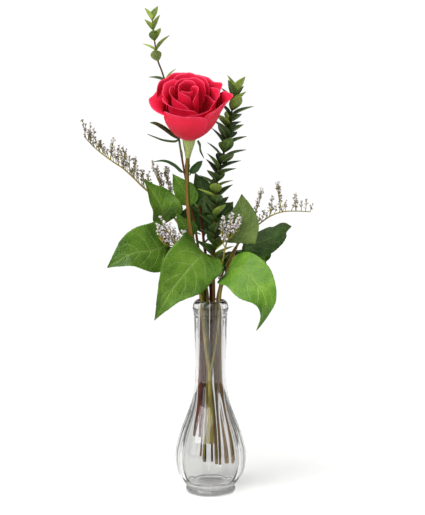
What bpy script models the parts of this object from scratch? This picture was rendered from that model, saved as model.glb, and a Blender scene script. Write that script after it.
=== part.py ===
"""A single rose in a fluted glass bud vase, with salal leaves, myrtle sprigs and sea-lavender.

Metres, +Z up. The origin is the centre of the vase's flat base, on the vase's axis, and the rose
faces -Y. Lengths below are in millimetres, and MM turns them into metres.
"""
import math

import bmesh
import bpy
from mathutils import Vector

MM = 0.001
GAP = 0.35  # clear space between pieces that nearly touch

# ---- driving dimensions, mm ----------------------------------------------------------------------
VASE_STEPS = 36
FLUTES = 12
FLUTE_DEPTH = 0.9
GLASS_WALL = 2.7
FLOOR_THICKNESS = 7.5
# outer profile of the vase: (radius, height) from the lip down to the foot
VASE_OUTSIDE = [
    (14.4, 203.0), (16.4, 201.6), (18.3, 197.5), (18.4, 192.5), (17.3, 187.0), (17.0, 180.0),
    (16.6, 160.0), (16.2, 135.0), (16.5, 118.0), (18.6, 102.0), (22.6, 88.0), (27.6, 75.0),
    (32.6, 61.0), (36.2, 47.0), (37.0, 38.0), (36.3, 28.0), (33.6, 18.5), (28.5, 11.0),
    (23.8, 7.6), (25.6, 5.2), (26.2, 2.6), (25.0, 0.5), (24.0, 0.0),
]
NECK_BORE = 13.4  # inner radius of the neck, from the lip down to where the bulb opens
# inner profile below the neck: (radius, height)
VASE_INSIDE = [
    (13.4, 120.0), (15.6, 102.0), (19.6, 88.0), (24.6, 75.0), (29.4, 61.0), (32.8, 47.0),
    (33.6, 38.0), (32.8, 28.0), (29.4, 18.5), (23.0, 11.6), (14.0, 8.4), (0.0, 7.5),
]

ROSE_BASE = Vector((-21.5, -14.0, 372.5))  # where the petals join the hip
ROSE_LEAN = math.radians(28.0)  # the head leans towards -Y by this much
PETAL_THICKNESS = 0.7
LEAF_THICKNESS = 0.7
BLADE_START = 0.14  # the share of a salal leaf's length that is its stalk
WIDEST_AT = 0.36  # where along the blade a leaf is widest

# stem centre lines: name -> (radius at the cut end, radius at the top, points from the cut end up)
STEMS = {
    "rose_stem": (2.5, 2.2, [
        (4.5, -3, 30), (3.5, -3, 66), (1, -3, 98), (-2, -3, 130), (-4.5, -3.2, 172), (-8, -3.2, 206),
        (-13, -4, 237), (-18, -4.2, 263), (-21.5, -4, 286), (-23.3, -3, 307), (-24, -1.6, 327),
        (-23.8, -2.2, 340), (-23.2, -3.6, 351.0)]),
    "salal_stem_left": (3.0, 1.3, [
        (-12, 0.5, 58), (-11, 0.5, 98), (-10, 1, 124), (-9, 1.5, 165), (-9.5, 3.5, 206),
        (-14, 6, 225), (-22, 8, 245), (-30, 6, 252), (-38, 4, 263), (-44, 2.5, 275)]),
    "salal_stem_centre": (2.1, 1.2, [
        (-4, 9, 29), (-4, 9, 60), (-3, 8, 98), (0, 7, 124), (1, 6, 165), (1, 6, 206),
        (-2, 8, 230), (-6, 11, 255), (-9, 14, 280), (-11, 15, 300)]),
    "salal_stem_right": (2.0, 1.1, [
        (21, 4, 29), (18, 4, 60), (13, 3, 98), (10, 1, 124), (9.5, 0, 165), (9.5, 0, 206),
        (14, 1, 225), (20, 3, 240), (26, 6, 255), (30, 8, 266)]),
}


# ---- small helpers -------------------------------------------------------------------------------
def clear_scene():
    for obj in list(bpy.data.objects):
        bpy.data.objects.remove(obj, do_unlink=True)


def collection(name, helper=False):
    made = bpy.data.collections.new(name)
    bpy.context.scene.collection.children.link(made)
    made.hide_render = helper
    return made


def material(name, red, green, blue, roughness, alpha=1.0):
    made = bpy.data.materials.new(name)
    made.use_nodes = True
    shader = made.node_tree.nodes["Principled BSDF"]
    shader.inputs["Base Color"].default_value = (red, green, blue, 1.0)
    shader.inputs["Roughness"].default_value = roughness
    shader.inputs["Metallic"].default_value = 0.0
    shader.inputs["Alpha"].default_value = alpha
    return made


def vec(point):
    return Vector(point)


def smooth_points(points, count):
    """Points evenly numbered along a smooth curve through the given ones (Catmull-Rom spans)."""
    given = [vec(p) for p in points]
    spans = len(given) - 1
    padded = [given[0] * 2 - given[1]] + given + [given[-1] * 2 - given[-2]]
    made = []
    for i in range(count):
        along = i / (count - 1) * spans
        span = min(int(along), spans - 1)
        a, b, c, d = padded[span:span + 4]
        t = along - span
        made.append(0.5 * (2 * b + (c - a) * t + (2 * a - 5 * b + 4 * c - d) * t * t
                           + (3 * b - a - 3 * c + d) * t * t * t))
    return made


def link(name, mesh, target, finish):
    made = bpy.data.objects.new(name, mesh)
    mesh.materials.clear()
    mesh.materials.append(finish)
    target.objects.link(made)
    return made


def tube(name, points, radii, target, finish, sides=2):
    """A POLY curve with a round section whose radius runs between the two given, ends capped."""
    curve = bpy.data.curves.new(name, "CURVE")
    curve.dimensions = "3D"
    curve.bevel_depth = radii[0] * MM
    curve.bevel_resolution = sides
    curve.use_fill_caps = True
    spline = curve.splines.new("POLY")
    spline.points.add(len(points) - 1)
    for i, point in enumerate(points):
        spline.points[i].co = (*(vec(point) * MM), 1.0)
        share = i / (len(points) - 1)
        spline.points[i].radius = 1.0 + (radii[1] / radii[0] - 1.0) * share
    curve.materials.append(finish)
    made = bpy.data.objects.new(name, curve)
    target.objects.link(made)
    return made


def as_mesh(obj):
    """The object's evaluated shape as a plain closed mesh, with its curve or modifiers used up."""
    bpy.context.view_layer.update()
    graph = bpy.context.evaluated_depsgraph_get()
    mesh = bpy.data.meshes.new_from_object(obj.evaluated_get(graph))
    shape = bmesh.new()
    shape.from_mesh(mesh)
    bmesh.ops.remove_doubles(shape, verts=shape.verts, dist=0.00001)
    bmesh.ops.recalc_face_normals(shape, faces=shape.faces)
    shape.to_mesh(mesh)
    shape.free()
    made = bpy.data.objects.new(obj.name, mesh)
    made.matrix_world = obj.matrix_world.copy()
    for home in obj.users_collection:
        home.objects.link(made)
    name = obj.name
    bpy.data.objects.remove(obj, do_unlink=True)
    made.name = name
    return made


def union(body, others):
    """One closed solid of a stem and all that grows from it."""
    helper = collection(body.name + "_cutters", helper=True)
    for other in others:
        for home in list(other.users_collection):
            home.objects.unlink(other)
        helper.objects.link(other)
        other.hide_render = True
        other.display_type = "WIRE"
    joined = body.modifiers.new("grown together", "BOOLEAN")
    joined.operation = "UNION"
    joined.operand_type = "COLLECTION"
    joined.collection = helper
    joined.solver = "EXACT"
    joined.use_self = True


def sheet(name, along, across, place, thickness, target, finish):
    """A grid whose points are laid on the surface place(u, v), u 0..1 along, v -1..1 across."""
    shape = bmesh.new()
    bmesh.ops.create_grid(shape, x_segments=along, y_segments=across, size=1.0)
    for vert in shape.verts:
        vert.co = place((vert.co.x + 1) / 2, vert.co.y) * MM
    mesh = bpy.data.meshes.new(name)
    shape.to_mesh(mesh)
    shape.free()
    made = link(name, mesh, target, finish)
    wall = made.modifiers.new("thickness", "SOLIDIFY")
    wall.thickness = thickness * MM
    wall.offset = 0.0
    return made


# ---- vase ----------------------------------------------------------------------------------------
def flute_strength(height):
    """The flutes run up the bulb and fade out where the neck begins and above the foot."""
    fade_in = min(max((height - 8.0) / 8.0, 0.0), 1.0)
    fade_out = min(max((116.0 - height) / 30.0, 0.0), 1.0)
    return fade_in * fade_out


def make_vase(target, finish):
    """A turned shell: the profile runs down the outer side, under the foot and up inside."""
    inside = [(NECK_BORE, 201.5), (NECK_BORE, 160.0)] + VASE_INSIDE
    profile = [(0.0, 0.0)] + VASE_OUTSIDE[::-1] + inside
    mesh = bpy.data.meshes.new("vase")
    points = [(r * MM, 0.0, z * MM) for r, z in reversed(profile)]
    mesh.from_pydata(points, [(i, i + 1) for i in range(len(points) - 1)], [])
    made = link("vase", mesh, target, finish)
    turn = made.modifiers.new("turned", "SCREW")
    turn.axis = "Z"
    turn.angle = math.tau
    turn.steps = turn.render_steps = VASE_STEPS
    turn.use_merge_vertices = True
    turn.merge_threshold = 0.00001
    turn.use_normal_flip = True
    made = as_mesh(made)
    for vert in made.data.vertices:
        x, y, z = vert.co / MM
        radius = math.hypot(x, y)
        # only the outer skin is fluted
        if radius < 1.0 or radius < outer_radius(z) - 0.5:
            continue
        wave = 0.5 - 0.5 * math.cos(FLUTES * math.atan2(y, x))
        shrink = 1.0 - FLUTE_DEPTH * flute_strength(z) * wave / radius
        vert.co.x *= shrink
        vert.co.y *= shrink
    made.data.shade_smooth()
    return made


def outer_radius(height):
    """The outer profile's radius at a height, between its neighbours."""
    for (r_top, z_top), (r_low, z_low) in zip(VASE_OUTSIDE, VASE_OUTSIDE[1:]):
        if z_low <= height <= z_top:
            share = (height - z_low) / (z_top - z_low) if z_top > z_low else 0.0
            return r_low + (r_top - r_low) * share
    return VASE_OUTSIDE[0][0]


# ---- rose ----------------------------------------------------------------------------------------
def rose_point(radius, angle, height):
    """From the head's own cylinder (angle 0 is +X, 90 degrees away from the viewer) to the world."""
    x = radius * math.cos(angle)
    y = radius * math.sin(angle)
    lean_y = y * math.cos(ROSE_LEAN) - height * math.sin(ROSE_LEAN)
    lean_z = y * math.sin(ROSE_LEAN) + height * math.cos(ROSE_LEAN)
    return ROSE_BASE + Vector((x, lean_y, lean_z))


# each ring of petals: rim radius, how far the lip turns out, rim height, first petal's angle,
# number of petals, how much of the circle one petal covers, height where its visible wall starts
PETAL_RINGS = {
    "outer": dict(radius=33.5, flare=6.5, height=51.0, first=266, count=5, cover=98, foot=0.8),
    "middle": dict(radius=27.0, flare=3.0, height=54.0, first=232, count=5, cover=104, foot=4.5),
    "inner": dict(radius=19.5, flare=1.2, height=56.0, first=200, count=4, cover=122, foot=10.0),
    "bud": dict(radius=10.0, flare=0.3, height=59.0, first=300, count=4, cover=150, foot=18.0),
}
RING_STEP = 3.4  # how far one petal's tucked edge lies inside its free edge


def cup_share(height_share):
    """How wide the cup is at a share of its height: narrow at the hip, full from the middle up."""
    return 0.19 + 0.81 * math.sin(min(height_share * 1.25, 1.0) * math.pi / 2) ** 0.9


def petal_surface(ring, index):
    centre = math.radians(ring["first"] + index * 360.0 / ring["count"])
    half_cover = math.radians(ring["cover"] / 2)

    def place(u, v):
        reach = 1.0 - 0.13 * abs(v) ** 2.6  # the rim is lower towards the petal's sides
        share = u * reach
        height = ring["foot"] + (ring["height"] - ring["foot"]) * share
        tuck = RING_STEP * v * cup_share(share) * 0.5
        lip = ring["flare"] * max(share - 0.62, 0.0) ** 2 / 0.1444
        radius = ring["radius"] * cup_share(height / ring["height"]) + tuck + lip
        droop = lip * 0.35
        squeeze = 0.55 + 0.45 * min(share * 2.2, 1.0)
        return rose_point(radius, centre + v * half_cover * squeeze, height - droop)

    return place


def make_petals(target, finish):
    for ring_name, ring in PETAL_RINGS.items():
        for index in range(ring["count"]):
            sheet(f"rose_petal_{ring_name}_{index + 1}", 4, 6, petal_surface(ring, index),
                  PETAL_THICKNESS, target, finish)


def make_hip(target, finish):
    """The green cup under the petals: a turned shape, wide at the top, leaning with the head."""
    axis = Vector((0.0, -math.sin(ROSE_LEAN), math.cos(ROSE_LEAN)))
    top = ROSE_BASE - axis * GAP
    bottom = vec(STEMS["rose_stem"][2][-1]) + axis * 3 * GAP
    line = [bottom, bottom.lerp(top, 0.35), bottom.lerp(top, 0.7), top]
    radii = [2.3, 3.4, 5.4, 6.4]
    made = tube("rose_hip", line, (radii[0], radii[0]), target, finish, sides=3)
    for point, radius in zip(made.data.splines[0].points, radii):
        point.radius = radius / radii[0]
    return made


# sepals: angle round the head, then (distance out from the axis, height) in the head's own frame
SEPALS = {
    "rose_sepal_1": (212, 4.0, [(11, -2), (18, -1), (27, 3.5), (35, 10)]),
    "rose_sepal_2": (186, 1.6, [(11, -3), (16, -5.5), (26, -5), (37, -1.5)]),
    "rose_sepal_3": (262, 1.9, [(9.4, -3.5), (10.5, -9), (9.5, -16), (9, -23)]),
    "rose_sepal_4": (340, 1.9, [(9.4, -3), (12.5, -8), (13.2, -15), (16.5, -23)]),
    "rose_sepal_5": (80, 3.0, [(11, -3), (18, -2), (27, 2), (35, 7)]),
}


def make_sepals(target, finish):
    for name, (angle, half_width, route) in SEPALS.items():
        turn = math.radians(angle)
        line = smooth_points([(r, z, 0) for r, z in route], 6)

        def place(u, v, line=line, turn=turn, half_width=half_width):
            spot = line[round(u * 5)]
            width = half_width * (1.0 - u) ** 0.6 + 0.35
            return rose_point(spot.x, turn + v * width / spot.x, spot.y)

        sheet(name, 5, 2, place, 0.7, target, finish)


# ---- leaves --------------------------------------------------------------------------------------
# midrib points from the stem to the tip; the direction of the blade's left half; half widths left
# and right; how far each half lifts towards its edge, as a share of the half width
SALAL_LEAVES = {
    "salal_leaf_upper_left": (
        [(-46, 1.5, 277), (-49, 0, 286), (-51, -5, 300), (-59, -3, 314), (-69, 0, 327)],
        (-1, -0.7, 0.1), 13, 21, 0.25),
    "salal_leaf_big_left": (
        [(-36, 0.5, 257), (-47, -12, 259), (-61, -20, 257), (-82, -28, 254), (-104, -32, 241)],
        (-0.2, -0.3, -1), 22, 28, 0.12),
    "salal_leaf_front": (
        [(-2, 3.5, 238), (-5, -12, 252), (-12, -28, 251), (-26, -38, 236), (-41, -46, 217),
         (-56, -50, 190)],
        (-0.75, -0.1, 0.62), 28, 28, 0.12),
    "salal_leaf_low_right": (
        [(15, -2, 228), (17, -14, 234), (31, -31, 239), (46, -42, 226), (55, -47, 206),
         (46, -44, 178)],
        (-0.6, -0.3, -0.75), 25, 20, 0.14),
    "salal_leaf_right_upper": (
        [(28, 4, 259), (27, -2, 266), (30, -5, 278), (33, -5, 295), (32, -1, 313)],
        (-1, 0.1, 0.1), 16, 17, 0.2),
    "salal_leaf_right_dark": (
        [(31, 5.5, 268), (37, 3, 257), (50, 4, 262), (66, 8, 269), (75, 10, 277), (84, 12, 278.5)],
        (-0.5, -0.35, 1), 13, 14, 0.22),
    "salal_leaf_behind_stem_left": (
        [(-12.6, 16.5, 298), (-20, 15, 306), (-27, 12, 314), (-33, 10, 323), (-39, 8, 333)],
        (-0.7, -0.1, -0.7), 8, 9, 0.15),
    "salal_leaf_behind_stem_right": (
        [(-9.5, 16, 286), (-8, 17.5, 297), (-7, 18, 308), (-10, 16, 320), (-16, 13, 334)],
        (-1, 0.05, -0.1), 11, 12, 0.15),
    "salal_leaf_centre_back": (
        [(-8.2, 16.5, 265), (-5, 24, 274), (-7, 28, 287), (-10, 32, 299), (-15, 35, 311)],
        (-1, -0.1, 0), 16, 14, 0.15),
    "salal_leaf_small": (
        [(-10.5, 12.5, 270), (-18, 5, 274.5), (-25, 1.5, 278), (-30, 0, 284), (-35, -1, 294)],
        (-0.8, -0.2, -0.6), 6, 7, 0.1),
    "salal_leaf_low_back": (
        [(13.5, 2.5, 220), (22, 11, 222), (30, 25, 230), (35, 35, 241), (39, 41, 253)],
        (-0.5, 0.2, 0.9), 14, 13, 0.15),
    "salal_leaf_back_right": (
        [(27.5, 8.8, 253), (37, 24, 252), (48, 30, 250), (56, 33, 243), (60, 34, 232)],
        (-0.3, -0.2, 0.9), 11, 11, 0.15),
    "salal_leaf_back": (
        [(-5.5, 14, 262), (4, 19, 272), (10, 24, 284), (16, 32, 293), (24, 40, 302)],
        (-0.7, 0.1, 0.6), 11, 11, 0.15),
    "rose_leaf_left": (
        [(-26.5, -1, 333), (-30, -3, 337), (-37, -7, 344), (-47, -11, 348), (-60, -13, 346)],
        (0.2, -0.9, 0.35), 3.2, 3.2, 0.35),
    "rose_leaf_right": (
        [(-21.3, -1, 332), (-19, -2, 336), (-15, -3, 341), (-11, -3.5, 345), (-8, -4, 347)],
        (-0.5, -0.5, 0.7), 4.2, 4.0, 0.3),
}


def leaf_width(u, stalk):
    """Half width as a share of the widest: a narrow stalk, a round base and a drawn-out tip."""
    blade = (u - stalk) / (1.0 - stalk)
    if blade <= 0.0:
        return 0.0
    if blade < WIDEST_AT:
        return math.sqrt(1.0 - (1.0 - blade / WIDEST_AT) ** 2)
    return math.cos((blade - WIDEST_AT) / (1.0 - WIDEST_AT) * math.pi / 2) ** 1.15


def leaf_surface(points, left, left_width, right_width, lift, stalk):
    """Rows lie closer together near the base, where the outline turns fastest."""
    samples = 120
    line = smooth_points(points, samples + 1)

    def place(row, v):
        u = row ** 1.35
        i = min(int(round(u * samples)), samples)
        tangent = (line[min(i + 1, samples)] - line[max(i - 1, 0)]).normalized()
        side = vec(left)
        side = (side - tangent * side.dot(tangent)).normalized()
        normal = side.cross(tangent)
        if normal.y > 0:
            normal = -normal
        half = (left_width if v > 0 else right_width) * leaf_width(u, stalk) + 0.6
        return line[i] + side * (half * v) + normal * (half * lift * v * v)

    return place


def make_leaves(target, finish):
    for name, (points, left, left_width, right_width, lift) in SALAL_LEAVES.items():
        surface = leaf_surface(points, left, left_width, right_width, lift, BLADE_START)
        across = 4 if left_width > 5 else 2
        sheet(name, 8, across, surface, LEAF_THICKNESS, target, finish)


# ---- myrtle --------------------------------------------------------------------------------------
MYRTLE = {
    "myrtle_sprig_right": dict(
        radii=(1.5, 0.7), leaf=15.0, from_height=264.0, spacing=9.2, turn=77.0,
        points=[(10.5, -2, 29), (9.5, -1, 66), (7, 0, 98), (5, 0, 124), (3.5, -1, 165),
                (3.3, 0.5, 206), (3, 2, 239), (4, 0, 266), (5, -2, 305), (6, -3, 322), (9, -3, 340),
                (13, -2, 353), (17, 0, 371), (19, 2, 384), (23, 3, 404), (25, 4, 417)]),
    "myrtle_sprig_tall": dict(
        radii=(1.3, 0.6), leaf=15.0, from_height=424.0, spacing=15.6, turn=90.0,
        points=[(-12, 13, 34), (-10, 12, 60), (-8, 10, 98), (-6, 9, 124), (-5.5, 7.5, 165),
                (-6, 8, 206), (-11, 11, 244), (-17.5, 19, 285), (-24, 19, 318), (-29, 17, 345),
                (-36, 15, 387),
                (-49, 14, 432), (-55, 14, 447), (-58, 14, 465), (-60, 14, 480), (-60.5, 14, 489)]),
}


def make_myrtle(target, finish):
    """A woody sprig with crossed pairs of small pointed leaves, all one closed solid."""
    for name, sprig in MYRTLE.items():
        line = smooth_points(sprig["points"], 20)
        body = as_mesh(tube(name, line, sprig["radii"], target, finish, sides=1))
        fine = smooth_points(sprig["points"], 400)
        grown = []
        height = sprig["from_height"]
        pair = 0
        while height < fine[-1].z + 0.5:
            i = min(range(1, 399), key=lambda k: abs(fine[k].z - height))
            tangent = (fine[i + 1] - fine[i - 1]).normalized()
            turn = math.radians(15.0 + sprig["turn"] * pair)
            for way in (0.0, math.pi):
                out = Vector((math.cos(turn + way), math.sin(turn + way), 0.0))
                out = (out - tangent * out.dot(tangent)).normalized()
                side = tangent.cross(out)
                reach = (out * 0.6 + tangent * 0.8) * sprig["leaf"]
                reach *= 1.0 - 0.03 * (pair % 3)

                def place(u, v, start=fine[i], reach=reach, side=side, out=out):
                    half = 3.2 * math.sin(math.pi * min(u + 0.06, 1.0) ** 0.8) + 0.25
                    sag = out * (2.0 * u * u)
                    return start + reach * u + side * (half * v) + sag
                blade = sheet(f"{name}_leaf", 3, 2, place, 0.6, target, finish)
                grown.append(as_mesh(blade))
            pair += 1
            height += sprig["spacing"]
        union(body, grown)


# ---- sea-lavender --------------------------------------------------------------------------------
# each stem: radii, its own points, then side branches as lists of points that start on the stem,
# and flower heads as (centre, half length, tilt in x)
LIMONIUM = {
    "limonium_stem_front": dict(
        radii=(1.9, 1.2),
        points=[(-0.5, -9, 53), (-0.5, -9, 98), (-1, -9.5, 128), (-4, -9.4, 150), (-7.6, -7.8, 187),
                (-9.5, -7.6, 206), (-16, -9, 222), (-25, -13, 243), (-35, -19, 262), (-46, -23, 277)],
        branches=[
            [(-1, -9.5, 126), (3.5, -9.8, 148), (8, -7.2, 182), (8.8, -7, 206), (10.5, -8.5, 222),
             (12, -9, 240), (15, -10, 258), (19, -12, 274), (22, -13, 287)],
            [(-35, -19, 262), (-45, -23, 263), (-52, -25, 270)],
            [(-25, -13, 243), (-27, -16, 255), (-28, -18, 264)],
            [(11, -9, 222), (8, -12, 228)],
        ],
        heads=[(-46, -23, 279), (-38.5, -20.5, 268), (-52, -25, 272), (-28, -18, 266),
               (22, -13, 289), (18.5, -12, 274), (8, -12.5, 229)]),
    "limonium_stem_left": dict(
        radii=(1.2, 0.5),
        points=[(-6, 1, 33), (-5, 2, 60), (-4, 3, 98), (-3, 2, 124), (-3, 2, 165), (-3, 2.6, 206),
                (-7, 4, 226), (-12.5, 5, 241), (-20, 6, 260), (-31, 8.5, 278), (-48, 11, 301),
                (-68, 8, 318), (-79, 6, 329), (-90, 4, 339), (-103, 2, 348), (-118, 0, 360),
                (-129, -2, 372)],
        branches=[
            [(-48, 11, 301), (-51, 9, 318), (-58, 7, 336)],
            [(-38, 9.5, 288), (-41, 12, 312), (-46, 10, 330)],
            [(-79, 6, 329), (-77, 5, 343)], [(-90, 4, 339), (-88, 4, 352)],
            [(-103, 2, 348), (-100, 3, 361)],
        ],
        heads=[(-58, 7, 338), (-46, 10, 332), (-77, 5, 346), (-88, 4, 355), (-100, 3, 363),
               (-52, 9, 321), (-118, 0, 363)]),
    "limonium_stem_right": dict(
        radii=(1.3, 0.5),
        points=[(24, 9, 30), (21, 9, 60), (12, 8, 98), (8, 7.5, 124), (7, 7, 165), (7, 7, 200),
                (9.5, 10, 215), (14.5, 14, 235), (26, 16.5, 256), (39, 15, 270.5), (48, 12, 279),
                (61, 8, 289), (74, 6, 294), (88, 4, 295), (103, 2, 294.5)],
        branches=[
            [(48, 12, 279), (47, 10, 292), (52, 9, 309)],
            [(61, 8, 289), (63, 7, 303)], [(74, 6, 294), (71, 6, 306), (69, 6, 318)],
            [(88, 4, 295), (87, 4, 306)],
        ],
        heads=[(52, 9, 309), (47.5, 10, 298), (69, 6, 317), (87, 4, 307), (96, 3, 297), (63, 7, 304)]),
}


def make_head(name, centre, target, finish):
    """A small upright flower spike: a pinched ball, longer than it is wide."""
    shape = bmesh.new()
    bmesh.ops.create_icosphere(shape, subdivisions=1, radius=1.0)
    for vert in shape.verts:
        vert.co = (vec(centre) + Vector((vert.co.x * 1.7, vert.co.y * 1.7, vert.co.z * 4.2))) * MM
    mesh = bpy.data.meshes.new(name)
    shape.to_mesh(mesh)
    shape.free()
    return link(name, mesh, target, finish)


def make_limonium(target, finish):
    for name, spray in LIMONIUM.items():
        line = smooth_points(spray["points"], 20)
        body = as_mesh(tube(name, line, spray["radii"], target, finish, sides=1))
        grown = []
        for points in spray["branches"]:
            thick = 1.1 if len(points) > 5 else 0.6
            line = smooth_points(points, 2 * len(points) + 1)
            branch = tube(name + "_branch", line, (thick, thick * 0.8), target, finish, sides=1)
            grown.append(as_mesh(branch))
        for centre in spray["heads"]:
            grown.append(make_head(name + "_head", centre, target, finish))
        union(body, grown)


# ---- stems ---------------------------------------------------------------------------------------
def make_stems(target, finishes):
    for name, (low_radius, top_radius, points) in STEMS.items():
        line = smooth_points(points, len(points) + 5)
        finish = finishes["rose_stem"] if name == "rose_stem" else finishes["bark"]
        tube(name, line, (low_radius, top_radius), target, finish)


def main():
    clear_scene()
    bouquet = collection("rose_in_bud_vase")
    finishes = {
        "glass": material("clear pressed glass", 0.92, 0.95, 0.95, 0.03, alpha=0.35),
        "petal": material("rose petal", 0.90, 0.03, 0.10, 0.55),
        "hip": material("rose hip and sepal", 0.30, 0.38, 0.14, 0.5),
        "rose_stem": material("rose stem", 0.30, 0.20, 0.07, 0.5),
        "bark": material("woody stem", 0.16, 0.06, 0.035, 0.6),
        "salal": material("salal leaf", 0.08, 0.20, 0.03, 0.35),
        "myrtle": material("myrtle leaf", 0.06, 0.13, 0.03, 0.4),
        "limonium": material("dried sea-lavender", 0.42, 0.36, 0.33, 0.8),
    }
    make_vase(bouquet, finishes["glass"])
    make_stems(bouquet, finishes)
    make_hip(bouquet, finishes["hip"])
    make_sepals(bouquet, finishes["hip"])
    make_petals(bouquet, finishes["petal"])
    make_leaves(bouquet, finishes["salal"])
    make_myrtle(bouquet, finishes["myrtle"])
    make_limonium(bouquet, finishes["limonium"])


main()
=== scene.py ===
"""The looks of a rose, salal leaves, myrtle and sea-lavender standing in a pressed glass bud vase.

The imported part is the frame: metres, +Z up, the origin at the centre of the vase's base, the rose facing -Y.
Lengths below are in millimetres unless they say otherwise, and MM turns them into metres.
"""
import math
import random

import bpy
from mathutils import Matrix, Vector


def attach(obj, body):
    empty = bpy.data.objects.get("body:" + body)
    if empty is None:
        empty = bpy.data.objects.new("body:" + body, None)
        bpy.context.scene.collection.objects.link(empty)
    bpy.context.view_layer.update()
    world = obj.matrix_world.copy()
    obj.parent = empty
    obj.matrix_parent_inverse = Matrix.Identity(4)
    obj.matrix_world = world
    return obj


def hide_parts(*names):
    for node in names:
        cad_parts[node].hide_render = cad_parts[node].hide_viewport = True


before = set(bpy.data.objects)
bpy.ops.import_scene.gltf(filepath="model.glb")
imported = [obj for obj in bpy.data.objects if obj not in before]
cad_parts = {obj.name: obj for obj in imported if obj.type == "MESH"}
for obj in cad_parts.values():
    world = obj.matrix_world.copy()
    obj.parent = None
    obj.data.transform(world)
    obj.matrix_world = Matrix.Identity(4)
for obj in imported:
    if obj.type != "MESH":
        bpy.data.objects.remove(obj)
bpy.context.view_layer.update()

MM = 0.001
TAU = math.tau


# ================================================================ small tools
def linear(hex_colour):
    """An sRGB hex colour as the linear RGBA that shaders take."""
    parts = [int(hex_colour[i:i + 2], 16) / 255 for i in (1, 3, 5)]
    return (*((p / 12.92 if p <= 0.04045 else ((p + 0.055) / 1.055) ** 2.4) for p in parts), 1.0)


def add(tree, kind, inputs=None, **settings):
    """One new node: settings are its properties; each input is a value, or an output to link from."""
    made = tree.nodes.new(kind)
    for key, value in settings.items():
        setattr(made, key, value)
    for key, value in (inputs or {}).items():
        if isinstance(value, bpy.types.NodeSocket):
            tree.links.new(value, made.inputs[key])
        else:
            made.inputs[key].default_value = value
    return made


def set_stops(ramp, stops):
    """Fills a colour ramp from (position, hex colour) pairs."""
    while len(ramp.color_ramp.elements) < len(stops):
        ramp.color_ramp.elements.new(1.0)
    for element, (position, colour) in zip(ramp.color_ramp.elements, stops):
        element.position = position
        element.color = linear(colour)


def new_material(name):
    """An empty node material: its tree and its Principled shader."""
    made = bpy.data.materials.new(name)
    made.use_nodes = True
    return made, made.node_tree, made.node_tree.nodes["Principled BSDF"]


def smooth_points(points, count):
    """Points evenly numbered along a smooth curve through the given ones."""
    given = [Vector(p) for p in points]
    spans = len(given) - 1
    padded = [given[0] * 2 - given[1]] + given + [given[-1] * 2 - given[-2]]
    made = []
    for i in range(count):
        along = i / (count - 1) * spans
        span = min(int(along), spans - 1)
        a, b, c, d = padded[span:span + 4]
        t = along - span
        made.append(0.5 * (2 * b + (c - a) * t + (2 * a - 5 * b + 4 * c - d) * t * t
                           + (3 * b - a - 3 * c + d) * t * t * t))
    return made


def mix(a, b, share):
    return a + (b - a) * share


def step(value, low, high):
    """0 below low, 1 above high, and an even S between."""
    share = min(max((value - low) / (high - low), 0.0), 1.0)
    return share * share * (3 - 2 * share)


def as_object(name, mesh, *finishes):
    made = bpy.data.objects.new(name, mesh)
    mesh.materials.clear()
    for finish in finishes:
        mesh.materials.append(finish)
    bpy.context.scene.collection.objects.link(made)
    return made


def dress(piece, slot, *nodes):
    """The piece stands for these CAD nodes, which it hides, and rides on the root body; slot is not used."""
    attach(piece, "root")
    for node in nodes:
        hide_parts(node)


def used_up(obj):
    """The object with its modifiers turned into a plain mesh."""
    bpy.context.view_layer.update()
    graph = bpy.context.evaluated_depsgraph_get()
    mesh = bpy.data.meshes.new_from_object(obj.evaluated_get(graph))
    name = obj.name
    bpy.data.objects.remove(obj, do_unlink=True)
    made = bpy.data.objects.new(name, mesh)
    bpy.context.scene.collection.objects.link(made)
    return made


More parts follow.
